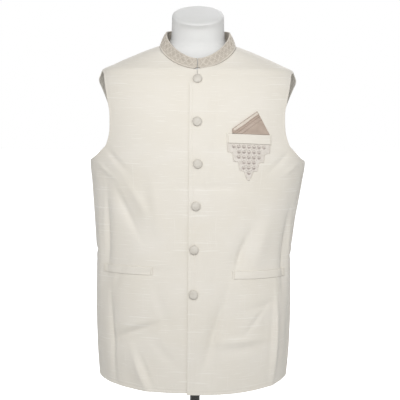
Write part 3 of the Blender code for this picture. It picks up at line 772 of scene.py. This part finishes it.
def collarAt(distance, share, lift=0.0):
    def along(values):
        return np.stack([np.interp(distance, collarReach, values[:, k]) for k in range(3)], -1)

    share = np.asarray(share, float)
    foot = collarFoot(np.asarray(distance, float)) * (1 - share)
    low, high, out = along(collarLow), along(collarHigh), along(collarOut)
    rise = lift + collar["crown"] * np.sin(math.pi * np.clip(share, 0, 1))
    share = (share + foot)[..., None]
    return low * (1 - share) + high * share + out * np.asarray(rise)[..., None], out


def standCollar():
    inner, between = rim[1:9] * 0.5, np.linspace(0.0030, collarLength - 0.0030, collar["columns"])
    distances = np.unique(np.r_[0, inner, between, collarLength - inner[::-1], collarLength])
    near = collar["nearEdge"]
    shares = np.r_[near, np.linspace(0.075, 0.925, 15), 1 - near[::-1]]
    grid, shares = np.meshgrid(distances, shares)
    points, out = collarAt(grid, shares)
    nearest = np.minimum(np.minimum(shares, 1 - shares) * collarHeight, np.minimum(grid, collarLength - grid))
    half = collar["wall"] / 2 * roundness(nearest, collar["edgeRound"])
    middle = points - out * collar["wall"] / 2
    pattern = np.stack([grid, shares * collarHeight], -1)
    wall = out * half[..., None]
    return shell("standCollar", middle + wall, middle - wall, bandGround, pattern)


# Embroidery of the collar: a bound edge above and below, and a lattice of lozenges with a small cross in each
collarWork = {
    "margin": 0.0035,
    "lozenge": 0.0132,
    "low": 0.20,
    "high": 0.86,
    "edgePitch": 0.00105,
    "stitchWidth": 0.00085,
    "stitchRise": 0.00050,
    "crossArm": 0.0024,
    "seed": {"count": 420, "length": 0.0009, "width": 0.0005, "rise": 0.00025},
}


def collarStitch(s1, share1, s2, share2, width=None, rise=None):
    a, up = collarAt(np.array(s1), share1)
    b, _ = collarAt(np.array(s2), share2)
    return a, b, up, width or collarWork["stitchWidth"], rise or collarWork["stitchRise"]


def collarEmbroidery():
    pale, deep = [], []
    low, high, margin = collarWork["low"], collarWork["high"], collarWork["margin"]
    for s in np.arange(margin, collarLength - margin, collarWork["edgePitch"]):
        pale.append(collarStitch(s, 0.025, s + 0.0004, 0.135))
        pale.append(collarStitch(s, 0.900, s + 0.0003, 0.975))
    cells = int((collarLength - 2 * margin) / collarWork["lozenge"])
    width = (collarLength - 2 * margin) / cells
    parts = np.linspace(0, 1, 6)
    middle, arm = (low + high) / 2, collarWork["crossArm"]
    for cell in range(cells):
        left = margin + cell * width
        for one, two in ((low, high), (high, low)):
            for a, b in zip(parts, parts[1:]):
                b = a + (b - a) * 0.92
                start, end = one + (two - one) * a, one + (two - one) * b
                pale.append(collarStitch(left + a * width, start, left + b * width, end))
        if cell:
            for dx, dz in ((1, 1), (1, -1), (-1, 1), (-1, -1)):
                end = middle + dz * arm / collarHeight
                deep.append(collarStitch(left + dx * 0.0003, middle + dz * 0.02, left + dx * arm, end))
        for share in (low + 0.07, high - 0.07):
            deep.append(collarStitch(left + width / 2 - 0.0011, share, left + width / 2 + 0.0011, share))
    seed = collarWork["seed"]
    for _ in range(seed["count"]):
        s, share = dice.uniform(margin, collarLength - margin), dice.uniform(low, high)
        turn = dice.uniform(0, math.pi)
        ds, dz = seed["length"] * math.cos(turn), seed["length"] * math.sin(turn) / collarHeight
        kind = pale if dice.random() < 0.6 else deep
        kind.append(collarStitch(s, share, s + ds, share + dz, seed["width"], seed["rise"]))
    return threads("collarStitching", pale, bandThread), threads("collarDeepStitching", deep, bandDeepThread)


bandCollar = standCollar()
collarPale, collarDeep = collarEmbroidery()
print("collar made")

pockets = {
    "chest": {"left": 0.060, "right": 0.150, "top": 0.7115, "height": 0.0190, "fall": 0.0040, "wall": 0.0022},
    "hip": (
        {"name": "leftHipWelt", "side": 1, "near": 0.0750, "far": 0.1860, "top": 0.4330},
        {"name": "rightHipWelt", "side": -1, "near": -0.0875, "far": -0.1900, "top": 0.4400},
    ),
    "hipHeight": 0.0160,
    "hipWall": 0.0016,
    "chestCrown": 0.0003,
    "hipCrown": 0.0002,
    "tackInset": 0.003,
    "tackLow": 0.0012,
    "tackHigh": 0.0014,
    "seamInset": 0.005,
    "seamDrop": 0.0042,
    "tack": {"pitch": 0.0011, "length": 0.0009, "width": 0.0024, "rise": 0.0004},
}


def onFront(x, z, lift=0.0, side=1):
    # point of a front's outer face, and the way that it faces, seen from in front at x and height z
    x, z = np.broadcast_arrays(np.asarray(x, float), np.asarray(z, float))
    angle = angleAt(x, z)
    dip = garment["hemDip"][side] * smooth(garment["hemFade"], garment["hem"], z)
    height = z + dip * np.cos(np.radians(angle)) ** 2
    lap = garment["lapLift"] * (1 - smooth(*garment["lapEase"], x)) if side == 1 else 0.0
    return cloth(height, angle, lap + lift, side), outward(height, angle, side)


def edgeDistance(points):
    # distance from the nearest of a grid's four borders, along its own lines
    found = []
    for axis in (0, 1):
        steps = np.linalg.norm(np.diff(points, axis=axis), axis=2)
        start = np.zeros_like(np.take(steps, [0], axis))
        run = np.concatenate([start, np.cumsum(steps, axis=axis)], axis=axis)
        found += [run, np.take(run, [-1], axis) - run]
    return np.minimum.reduce(found)


def layOn(name, x, z, wall, finish, side=1, crown=0.0, radius=0.0009, relief=None):
    # thin piece that lies on a front, with rounded edges and its middle a little raised
    foot, out = onFront(x, z, garment["seamGap"], side)
    distance = edgeDistance(foot)
    thick = wall * roundness(distance, radius) + crown * np.clip(distance / (distance.max() or 1), 0, 1) ** 0.5
    if relief is not None:
        thick = thick + relief
    return shell(name, foot + out * thick[..., None], foot, finish, np.stack([x, z], -1))


def clustered(low, high, count, near=0.0011):
    edge = near * np.array((0, 0.06, 0.2, 0.45, 1.0))
    return np.r_[low + edge, np.linspace(low + near, high - near, count)[1:-1], high - edge[::-1]]


def weltTop(x):
    chest = pockets["chest"]
    return chest["top"] - chest["fall"] / (chest["right"] - chest["left"]) * (x - chest["left"])


def tacks(x, z0, z1, lift, side=1):
    # close upright row of small cross stitches that holds a welt's end
    stitch = pockets["tack"]
    made = []
    for z in np.arange(z0, z1, stitch["pitch"]):
        a, up = onFront(x - stitch["width"] / 2, z, lift, side)
        b, _ = onFront(x + stitch["width"] / 2, z + 0.0002, lift, side)
        made.append((a, b, up, stitch["length"], stitch["rise"]))
    return made


def chestWelt():
    chest = pockets["chest"]
    down = clustered(0, chest["height"], 18)[::-1]
    x, drop = np.meshgrid(clustered(chest["left"], chest["right"], 70), down)
    made = layOn("chestWelt", x, weltTop(x) - drop, chest["wall"], cream, crown=pockets["chestCrown"])
    lift = garment["seamGap"] + chest["wall"]
    inset, seamInset = pockets["tackInset"], pockets["seamInset"]
    stitches = []
    for end in (chest["left"] + inset, chest["right"] - inset):
        foot = weltTop(end) - chest["height"]
        stitches += tacks(end, foot + pockets["tackLow"], foot + chest["height"] - pockets["tackHigh"], lift)
    seam = np.linspace(chest["left"] + seamInset, chest["right"] - seamInset, 40)
    line, ups = onFront(seam, weltTop(seam) - pockets["seamDrop"], lift)
    stitches += alongLine(line, ups, **seamStitch)
    return made, threads("chestWeltStitching", stitches, seamThread)


def hipWelt(row):
    down = clustered(0, pockets["hipHeight"], 14)[::-1]
    x, drop = np.meshgrid(clustered(*sorted((row["near"], row["far"])), 90), down)
    made = layOn(row["name"], x, row["top"] - drop, pockets["hipWall"], cream, row["side"], pockets["hipCrown"])
    stitches = []
    lift = garment["seamGap"] + pockets["hipWall"]
    inward = pockets["tackInset"] * (1 if row["far"] > row["near"] else -1)
    foot = row["top"] - pockets["hipHeight"]
    for end in (row["near"] + inward, row["far"] - inward):
        stitches += tacks(end, foot + pockets["tackLow"], row["top"] - pockets["tackHigh"], lift, row["side"])
    return made, threads(row["name"] + "Stitching", stitches, seamThread)


# Embroidered patch below the chest welt: a straight grid of diamonds with their lower halves filled
patchColumns = ("depth", "halfWidth")
patchSteps = (
    (0.0000, 0.0440),
    (0.0180, 0.0430),
    (0.0195, 0.0330),
    (0.0360, 0.0310),
    (0.0375, 0.0210),
    (0.0540, 0.0180),
    (0.0555, 0.0090),
    (0.0660, 0.0060),
    (0.0740, 0.0012),
)
patch = {
    "centre": 0.1045,
    "wall": 0.0008,
    "diamond": 0.0084,
    "diamondTop": 0.0060,
    "diamondRow": 0.0104,
    "diamondPitch": 0.0102,
    "filledRows": 3,
    "binding": 0.0016,
    "stitchWidth": 0.0010,
    "stitchRise": 0.00060,
}


def patchHalf(depth):
    depths = column(patchSteps, patchColumns, "depth")
    return np.interp(depth, depths, column(patchSteps, patchColumns, "halfWidth"))


def patchPlace(across, depth):
    x = patch["centre"] + across
    return x, weltTop(x) - pockets["chest"]["height"] - garment["seamGap"] - depth


def patchStitch(x1, d1, x2, d2, width=None):
    lift = garment["seamGap"] + patch["wall"]
    a, up = onFront(*patchPlace(x1, d1), lift)
    b, _ = onFront(*patchPlace(x2, d2), lift)
    return a, b, up, width or patch["stitchWidth"], patch["stitchRise"]


def embroideredPatch():
    tip = patchSteps[-1][0]
    depths = np.unique(np.r_[column(patchSteps, patchColumns, "depth"), np.linspace(0, tip, 56)])[::-1]
    x, z = patchPlace(patchHalf(depths)[:, None] * clustered(-1, 1, 44, 0.03), depths[:, None])
    ground = layOn("embroideredPatch", x, z, patch["wall"], patchGround)
    pale, grey = [], []
    for (d1, w1), (d2, w2) in zip(patchSteps, patchSteps[1:]):
        for side in (-1, 1):
            length = math.hypot(d2 - d1, w2 - w1)
            for t in np.arange(0.0004, length, 0.0010) / length:
                depth, half = d1 + (d2 - d1) * t, w1 + (w2 - w1) * t
                inwards = min(patch["binding"], half)
                if w1 - w2 > 0.005:
                    pale.append(patchStitch(side * half, depth - patch["binding"], side * half, depth - 0.0001))
                else:
                    pale.append(patchStitch(side * half, depth, side * (half - inwards), depth + 0.0002))
    arm = patch["diamond"] / 2
    for depth in np.arange(patch["diamondTop"], tip, patch["diamondRow"]):
        half = min(float(patchHalf(depth - arm)), float(patchHalf(depth + arm))) - 0.0016
        count = max(int((half - arm) / patch["diamondPitch"]), 0)
        if half < 0.0024 or depth + arm > tip:
            continue
        reach = min(arm, half)
        for i in range(-count, count + 1):
            middle = i * patch["diamondPitch"]
            corners = ((0, -arm), (reach, 0), (0, arm), (-reach, 0), (0, -arm))
            for (x1, d1), (x2, d2) in zip(corners, corners[1:]):
                x2, d2 = x1 + (x2 - x1) * 0.86, d1 + (d2 - d1) * 0.86
                grey.append(patchStitch(middle + x1, depth + d1, middle + x2, depth + d2))
            for j in range(patch["filledRows"]):
                drop = arm * (0.12 + 0.72 * j / patch["filledRows"])
                wide = max(reach * (1 - drop / arm) - 0.0004, 0.0004)
                grey.append(patchStitch(middle - wide, depth + drop, middle + wide, depth + drop))
            pale.append(patchStitch(middle - 0.0011, depth - 0.0010, middle + 0.0011, depth - 0.0010, 0.0016))
            if i < count:
                x = middle + patch["diamondPitch"] / 2
                pale.append(patchStitch(x, depth - arm * 0.7, x, depth + arm * 0.7, 0.0014))
                grey.append(patchStitch(x - 0.0008, depth + arm + 0.0012, x + 0.0008, depth + arm + 0.0012))
    paleWork = threads("patchStitching", pale, patchThread)
    return ground, paleWork, threads("patchGreyStitching", grey, patchGreyThread)


weltPieces = [chestWelt()] + [hipWelt(row) for row in pockets["hip"]]
patchPieces = embroideredPatch()
print("pockets made")

# Pocket square: corners in x and height as seen from in front, folds run alongside its upper left edge
square = {
    "left": (0.0705, 0.7205),
    "peak": (0.1205, 0.7555),
    "right": 0.1470,
    "wall": 0.0016,
    "rows": 84,
    "columns": 60,
    "layers": ((0.0072, 0.0007), (0.0112, 0.0008), (0.0185, 0.0010)),
    "rollWidth": 0.0013,
    "rollRise": 0.0010,
    "wave": 0.00035,
    "hem": {"low": 0.0008, "high": 0.0020, "in": 0.0012, "width": 0.0052},
    "hemWall": {"lift": 0.0024, "thick": 0.0008, "sunk": 0.0012},
}


# its corners, and the ways along and inward from its upper left edge
left, peak = np.array(square["left"]), np.array(square["peak"])
footLeft, footRight = (np.array((x, weltTop(x) + garment["seamGap"])) for x in (left[0], square["right"]))
along = (peak - left) / np.linalg.norm(peak - left)
inward = np.array((along[1], -along[0]))


def squareEnds(distance):
    # both ends of the line that lies at a distance inside the upper left edge

    def crossing(a, b):
        reachA, reachB = np.dot(a - left, inward), np.dot(b - left, inward)
        return a + (b - a) * (distance - reachA) / (reachB - reachA)

    turn = np.dot(footLeft - left, inward)
    start = crossing(left, footLeft) if distance < turn else crossing(footLeft, footRight)
    return start, crossing(peak, footRight)


def pocketSquare():
    deepest = float(np.dot(footRight - left, inward)) - 0.0004
    distances = np.unique(np.r_[clustered(0, deepest, square["rows"]), [edge for edge, _ in square["layers"]]])
    shares = clustered(0, 1, square["columns"], 0.03)
    ends = [squareEnds(distance) for distance in distances]
    start, stop = (np.array(side) for side in zip(*ends))
    flat = start[:, None] * (1 - shares)[:, None] + stop[:, None] * shares[:, None]
    depth = np.repeat(distances[:, None], len(shares), axis=1)
    run = np.einsum("rck,k->rc", flat - left, along)
    rise = np.zeros_like(depth)
    for edge, step in square["layers"]:
        edge = edge + 0.0004 * np.sin(95 * run + 40 * edge)
        rise += step * (1 - smooth(edge - 0.0004, edge + 0.0005, depth))
        rise += square["rollRise"] * np.exp(-(((depth - edge + 0.0007) / square["rollWidth"]) ** 2))
        rise -= 0.5 * square["rollRise"] * np.exp(-(((depth - edge - 0.0016) / 0.0014) ** 2))
    rise += square["wave"] * np.sin(70 * run + 120 * depth) * smooth(0.0185, 0.030, depth)
    rise += square["wave"] * np.sin(150 * run + 1) * (1 - smooth(0.004, 0.0185, depth))
    corner = np.linalg.norm(flat - footRight, axis=-1)
    rise += 0.0010 * smooth(0.013, 0.006, corner)
    rise *= smooth(0.0, 0.0012, edgeDistance(np.concatenate([flat, flat[..., :1] * 0], axis=-1)))
    return layOn("pocketSquare", flat[..., 0], flat[..., 1], square["wall"], taupe, relief=np.maximum(rise, 0))


def squareBorder():
    # rolled hem along the upper left edge; its pale colour is partly the hem's own tone and partly painted
    # highlight where the edge catches the light
    hem, wall = square["hem"], square["hemWall"]
    low = left + along * hem["low"] + inward * hem["in"]
    high = peak - along * hem["high"] + inward * hem["in"]
    steps = np.linspace(0, 1, 60)[:, None]
    flat = low * (1 - steps) + high * steps
    grid = flat[:, None] + inward * (clustered(0, hem["width"], 12, 0.0006)[None, :, None])
    foot, out = onFront(grid[..., 0], grid[..., 1], garment["seamGap"] + square["wall"] + wall["lift"])
    thick = wall["thick"] * roundness(edgeDistance(foot), 0.0006)
    return shell("pocketSquareHemAndHighlight", foot + out * thick[..., None], foot - out * wall["sunk"], hemAndHighlightSatin, grid)


buttons = {
    "heights": (0.8188, 0.7345, 0.6506, 0.5656, 0.4770, 0.3865),
    "radius": 0.0095,
    "shank": 0.0030,
    "shankHeight": 0.0012,
    "dome": 0.0056,
    "bead": 0.0011,
    "sides": 56,
    "gathers": 18,
    "gatherDepth": 0.00009,
}


def buttonProfile():
    # radius and height from the shank's foot round the bead and over the dome
    radius, low, bead = buttons["radius"], buttons["shankHeight"], buttons["bead"]
    points = [(buttons["shank"], 0.0), (buttons["shank"], low * 0.8), (radius * 0.72, low)]
    for turn in np.radians((-80, -55, -30, 0, 25, 45)):
        points.append((radius - bead + bead * math.cos(turn), low + bead + bead * math.sin(turn)))
    edge = points[-1]
    for t in np.linspace(0, math.pi / 2, 15)[1:-1]:
        wide, up = math.cos(t), math.sin(t)
        points.append((edge[0] * wide, edge[1] + (low + buttons["dome"] - edge[1]) * up))
    return points


def button(number, height):
    angle = angleAt(girth("sway", height), np.array(height))
    middle = cloth(height, angle, garment["lapLift"] + garment["seamGap"])
    normal = outward(np.array(height), np.array(angle), 1)
    right = np.cross((0, 0, 1), normal)
    right /= np.linalg.norm(right)
    up = np.cross(normal, right)
    spin = dice.uniform(-0.5, 0.5)
    points, flat, faces = [], [], []
    sides, profile = buttons["sides"], buttonProfile()
    for radius, out in profile:
        for i in range(sides):
            turn = 2 * math.pi * i / sides
            gather = buttons["gatherDepth"] * math.sin(buttons["gathers"] * turn)
            wide = radius + gather * (radius / buttons["radius"]) ** 6
            points.append(middle + normal * out + wide * (right * math.cos(turn) + up * math.sin(turn)))
            flat.append((radius * math.cos(turn + spin) + number, radius * math.sin(turn + spin)))
    points.append(middle + normal * (buttons["shankHeight"] + buttons["dome"]))
    flat.append((number, 0.0))
    for ring in range(len(profile) - 1):
        for i in range(sides):
            j = (i + 1) % sides
            a, b = ring * sides, (ring + 1) * sides
            faces.append((a + i, a + j, b + j, b + i))
    last, crown = (len(profile) - 1) * sides, len(points) - 1
    faces += [(last + i, last + (i + 1) % sides, crown) for i in range(sides)]
    faces.append(tuple(range(sides - 1, -1, -1)))
    return meshOf(f"coveredButton{number}", points, faces, buttonSatin, flat)


formColumns = ("height", "halfWidth", "front", "back", "squareness", "middle", "tilt")
formRows = (
    (0.2450, 0.1400, 0.0860, 0.0780, 2.3, 0.0000, 0.00),
    (0.2520, 0.1500, 0.0940, 0.0860, 2.3, 0.0000, 0.00),
    (0.3000, 0.1630, 0.1040, 0.0950, 2.3, 0.0000, 0.00),
    (0.3600, 0.1660, 0.1060, 0.0980, 2.3, 0.0000, 0.00),
    (0.4400, 0.1520, 0.0980, 0.0880, 2.2, 0.0000, 0.00),
    (0.5200, 0.1580, 0.1050, 0.0950, 2.2, 0.0000, 0.00),
    (0.6000, 0.1720, 0.1150, 0.1060, 2.2, 0.0000, 0.00),
    (0.6600, 0.1830, 0.1190, 0.1165, 2.15, 0.0000, 0.00),
    (0.7000, 0.1950, 0.1190, 0.1205, 2.15, 0.0000, 0.00),
    (0.7500, 0.2030, 0.1145, 0.1165, 2.1, 0.0000, 0.00),
    (0.8000, 0.2050, 0.1005, 0.1065, 2.1, 0.0000, 0.00),
    (0.8186, 0.2000, 0.0940, 0.1020, 2.0, 0.0000, 0.00),
    (0.8300, 0.1960, 0.0885, 0.0975, 2.0, 0.0000, 0.00),
    (0.8390, 0.1905, 0.0840, 0.0935, 2.0, 0.0000, 0.00),
    (0.8500, 0.1676, 0.0725, 0.0865, 2.0, 0.0000, 0.00),
    (0.8600, 0.1460, 0.0640, 0.0800, 2.0, 0.0000, 0.00),
    (0.8680, 0.1274, 0.0595, 0.0750, 2.0, 0.0000, 0.00),
    (0.8765, 0.1068, 0.0570, 0.0700, 2.0, 0.0000, 0.00),
    (0.8838, 0.0850, 0.0555, 0.0640, 2.0, 0.0000, 0.00),
    (0.8875, 0.0720, 0.0545, 0.0600, 2.0, 0.0000, 0.00),
    (0.8950, 0.0612, 0.0540, 0.0560, 2.0, -0.0005, 0.02),
    (0.9070, 0.0561, 0.0550, 0.0540, 2.0, -0.0015, 0.06),
    (0.9250, 0.0545, 0.0545, 0.0530, 2.0, -0.0045, 0.14),
    (0.9390, 0.0541, 0.0540, 0.0525, 2.0, -0.0090, 0.28),
    (0.9490, 0.0537, 0.0535, 0.0520, 2.0, -0.0130, 0.40),
    (0.9525, 0.0519, 0.0515, 0.0500, 2.0, -0.0145, 0.433),
    (0.9543, 0.0473, 0.0465, 0.0450, 2.0, -0.0155, 0.433),
)
form = {
    "side": 0.1780,
    "sideEase": 0.0025,
    "sides": 144,
    "between": 6,
    "capRings": (0.92, 0.75, 0.5, 0.25),
    "capRise": 0.0008,
}


def ringPoints(level):
    turns = np.linspace(0, 2 * math.pi, form["sides"], endpoint=False)
    bow = 2 / level["squareness"]
    depth = np.where(np.cos(turns) > 0, level["front"], level["back"])
    x = level["halfWidth"] * power(np.sin(turns), bow)
    y = -depth * power(np.cos(turns), bow)
    ease, limit = form["sideEase"], form["side"]
    over = np.maximum(np.abs(x) - (limit - ease), 0)
    x = np.sign(x) * np.where(over > 0, limit - ease + ease * (1 - np.exp(-over / ease)), np.abs(x))
    return np.stack([x, level["middle"] + y, level["height"] + level["tilt"] * y], -1)


def dressForm():
    known = np.arange(len(formRows), dtype=float)
    at = np.linspace(0, known[-1], (len(known) - 1) * form["between"] + 1)
    values = {name: eased(at, known, column(formRows, formColumns, name)) for name in formColumns}
    rings = [ringPoints({name: values[name][i] for name in formColumns}) for i in range(len(at))]
    top, bottom = rings[-1], rings[0]
    for ring, centre, side in ((top, top.mean(0), 1), (bottom, bottom.mean(0), -1)):
        inner = []
        for share in form["capRings"]:
            lift = form["capRise"] * (1 - share**2) * (side > 0)
            inner.append(centre + (ring - centre) * share + np.array((0, 0, lift)))
        rings = rings + inner if side > 0 else inner[::-1] + rings
    return turnedMesh("dressFormShell", np.array(rings), formWhite)


stand = {
    "poleRadius": 0.0105,
    "poleBevel": 0.0006,
    "baseRadius": 0.1650,
    "baseHeight": 0.0100,
    "baseBevel": 0.0010,
    "gap": 0.0003,
}


def turnedPiece(name, profile, sides, finish):
    turns = np.linspace(0, 2 * math.pi, sides, endpoint=False)
    rings = [np.stack([r * np.cos(turns), r * np.sin(turns), np.full(sides, z)], -1) for r, z in profile]
    return turnedMesh(name, np.array(rings), finish)


def rounded(radius, low, high, bevel, steps=6):
    turns = np.linspace(0, math.pi / 2, steps)
    under = [(radius - bevel + bevel * math.sin(t), low + bevel - bevel * math.cos(t)) for t in turns]
    over = [(radius - bevel + bevel * math.cos(t), high - bevel + bevel * math.sin(t)) for t in turns]
    return under + over


# paler copy of the taupe satin for the hem: partly the hem's own tone, partly painted highlight along the upper
# left edge
hemAndHighlightSatin = satin("hemAndHighlightSatin", tone(214, 204, 191), tone(228, 220, 209), tone(200, 189, 175))
squarePiece, squareHemAndHighlight = pocketSquare(), squareBorder()
buttonPieces = [button(number, height) for number, height in enumerate(buttons["heights"], 1)]
formPiece = dressForm()
formBottom = formRows[0][0]
poleEnds = (stand["baseHeight"] + stand["gap"], formBottom - stand["gap"])
poleProfile = rounded(stand["poleRadius"], *poleEnds, stand["poleBevel"], 4)
polePiece = turnedPiece("standPole", poleProfile, 64, standBlack)
baseProfile = rounded(stand["baseRadius"], 0.0, stand["baseHeight"], stand["baseBevel"])
basePiece = turnedPiece("standBase", baseProfile, 128, standBlack)
print("pocket square, buttons, form and stand made")


def fit(piece, slot, *nodes):
    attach(piece, body)
    if nodes:
        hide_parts(*nodes)


fit(leftFront, "cream_cloth", "front_left")
fit(rightFront, "cream_cloth", "front_right")
fit(backPanel, "cream_cloth", "back")
fit(bandCollar, "embroidered_band", "collar")
fit(patchPieces[0], "embroidered_band", "chest_patch")
fit(squarePiece, "taupe_satin", "pocket_square")
fit(squareHemAndHighlight, "taupe_satin")
fit(formPiece, "white_form", "dress_form")
fit(polePiece, "black_metal", "pole")
fit(basePiece, "black_metal", "base")
for (piece, stitching), node in zip(weltPieces, ("chest_welt", "hip_welt_left", "hip_welt_right")):
    fit(piece, "cream_cloth", node)
    fit(stitching, "cream_cloth")
for number, piece in enumerate(buttonPieces, 1):
    fit(piece, "covered_button", f"button_{number}")
for piece in (leftStitching, rightStitching, backStitching):
    fit(piece, "cream_cloth")
for piece in (collarPale, collarDeep) + patchPieces[1:]:
    fit(piece, "embroidered_band")

print("pieces fitted")

view = {
    "place": (0.0073, -2.6, 0.794),
    "down": 5.0,
    "roll": 0.5,
    "lens": 111.4,
    "sensor": 36.0,
}
camera = bpy.data.objects.new("camera", bpy.data.cameras.new("camera"))
camera.data.lens = view["lens"]
camera.data.sensor_width = view["sensor"]
pitch = Matrix.Rotation(math.radians(90 - view["down"]), 4, "X")
roll = Matrix.Rotation(math.radians(view["roll"]), 4, "Z")
camera.matrix_world = Matrix.Translation(view["place"]) @ pitch @ roll
bpy.context.scene.collection.objects.link(camera)
bpy.context.scene.camera = camera

studio = {
    "ambient": 0.47,
    "lamps": (
        # name, place, size, watts
        ("keyLamp", (-0.12, -1.70, 1.32), 0.8, 18.0),
        ("fillLamp", (1.6, -1.2, 0.8), 1.3, 4.0),
        ("backLamp", (0.3, 2.0, 1.7), 1.6, 26.0),
    ),
    "aim": (0.0, 0.0, 0.62),
    "floorRadius": 14.0,
}


def lamps():
    for name, place, size, watts in studio["lamps"]:
        light = bpy.data.lights.new(name, "AREA")
        light.shape = "DISK"
        light.size = size
        light.energy = watts
        made = bpy.data.objects.new(name, light)
        made.location = place
        made.rotation_mode = "QUATERNION"
        made.rotation_quaternion = (Vector(studio["aim"]) - Vector(place)).to_track_quat("-Z", "Y")
        bpy.context.scene.collection.objects.link(made)


def surroundings():
    # white all round for the camera, and a weaker even light on the object
    world = bpy.data.worlds.new("studio")
    bpy.context.scene.world = world
    world.use_nodes = True
    nodes, links = world.node_tree.nodes, world.node_tree.links
    seen, even = nodes["Background"], nodes.new("ShaderNodeBackground")
    seen.inputs["Color"].default_value = (1, 1, 1, 1)
    even.inputs["Color"].default_value = (1, 1, 1, 1)
    even.inputs["Strength"].default_value = studio["ambient"]
    ray, mix = nodes.new("ShaderNodeLightPath"), nodes.new("ShaderNodeMixShader")
    links.new(ray.outputs["Is Camera Ray"], mix.inputs[0])
    links.new(even.outputs[0], mix.inputs[1])
    links.new(seen.outputs[0], mix.inputs[2])
    links.new(mix.outputs[0], nodes["World Output"].inputs["Surface"])


def floor():
    finish = Finish("paleFloor", Roughness=0.9, Emission_Color=(1, 1, 1, 1), Emission_Strength=1.0)
    patches = finish.noise(finish.inSpace(), (3, 3, 3))
    finish.colour(finish.blend(patches, tone(230, 230, 229), tone(234, 234, 233)))
    turns = np.linspace(0, 2 * math.pi, 96, endpoint=False)
    radius = studio["floorRadius"]
    ring = np.stack([radius * np.cos(turns), radius * np.sin(turns), np.full(len(turns), -0.0005)], -1)
    made = meshOf("floor", ring, [range(len(turns))], finish.material)
    made.visible_diffuse = False


lamps()
surroundings()
floor()
bpy.context.scene.view_settings.view_transform = "Standard"
print("camera and studio set")
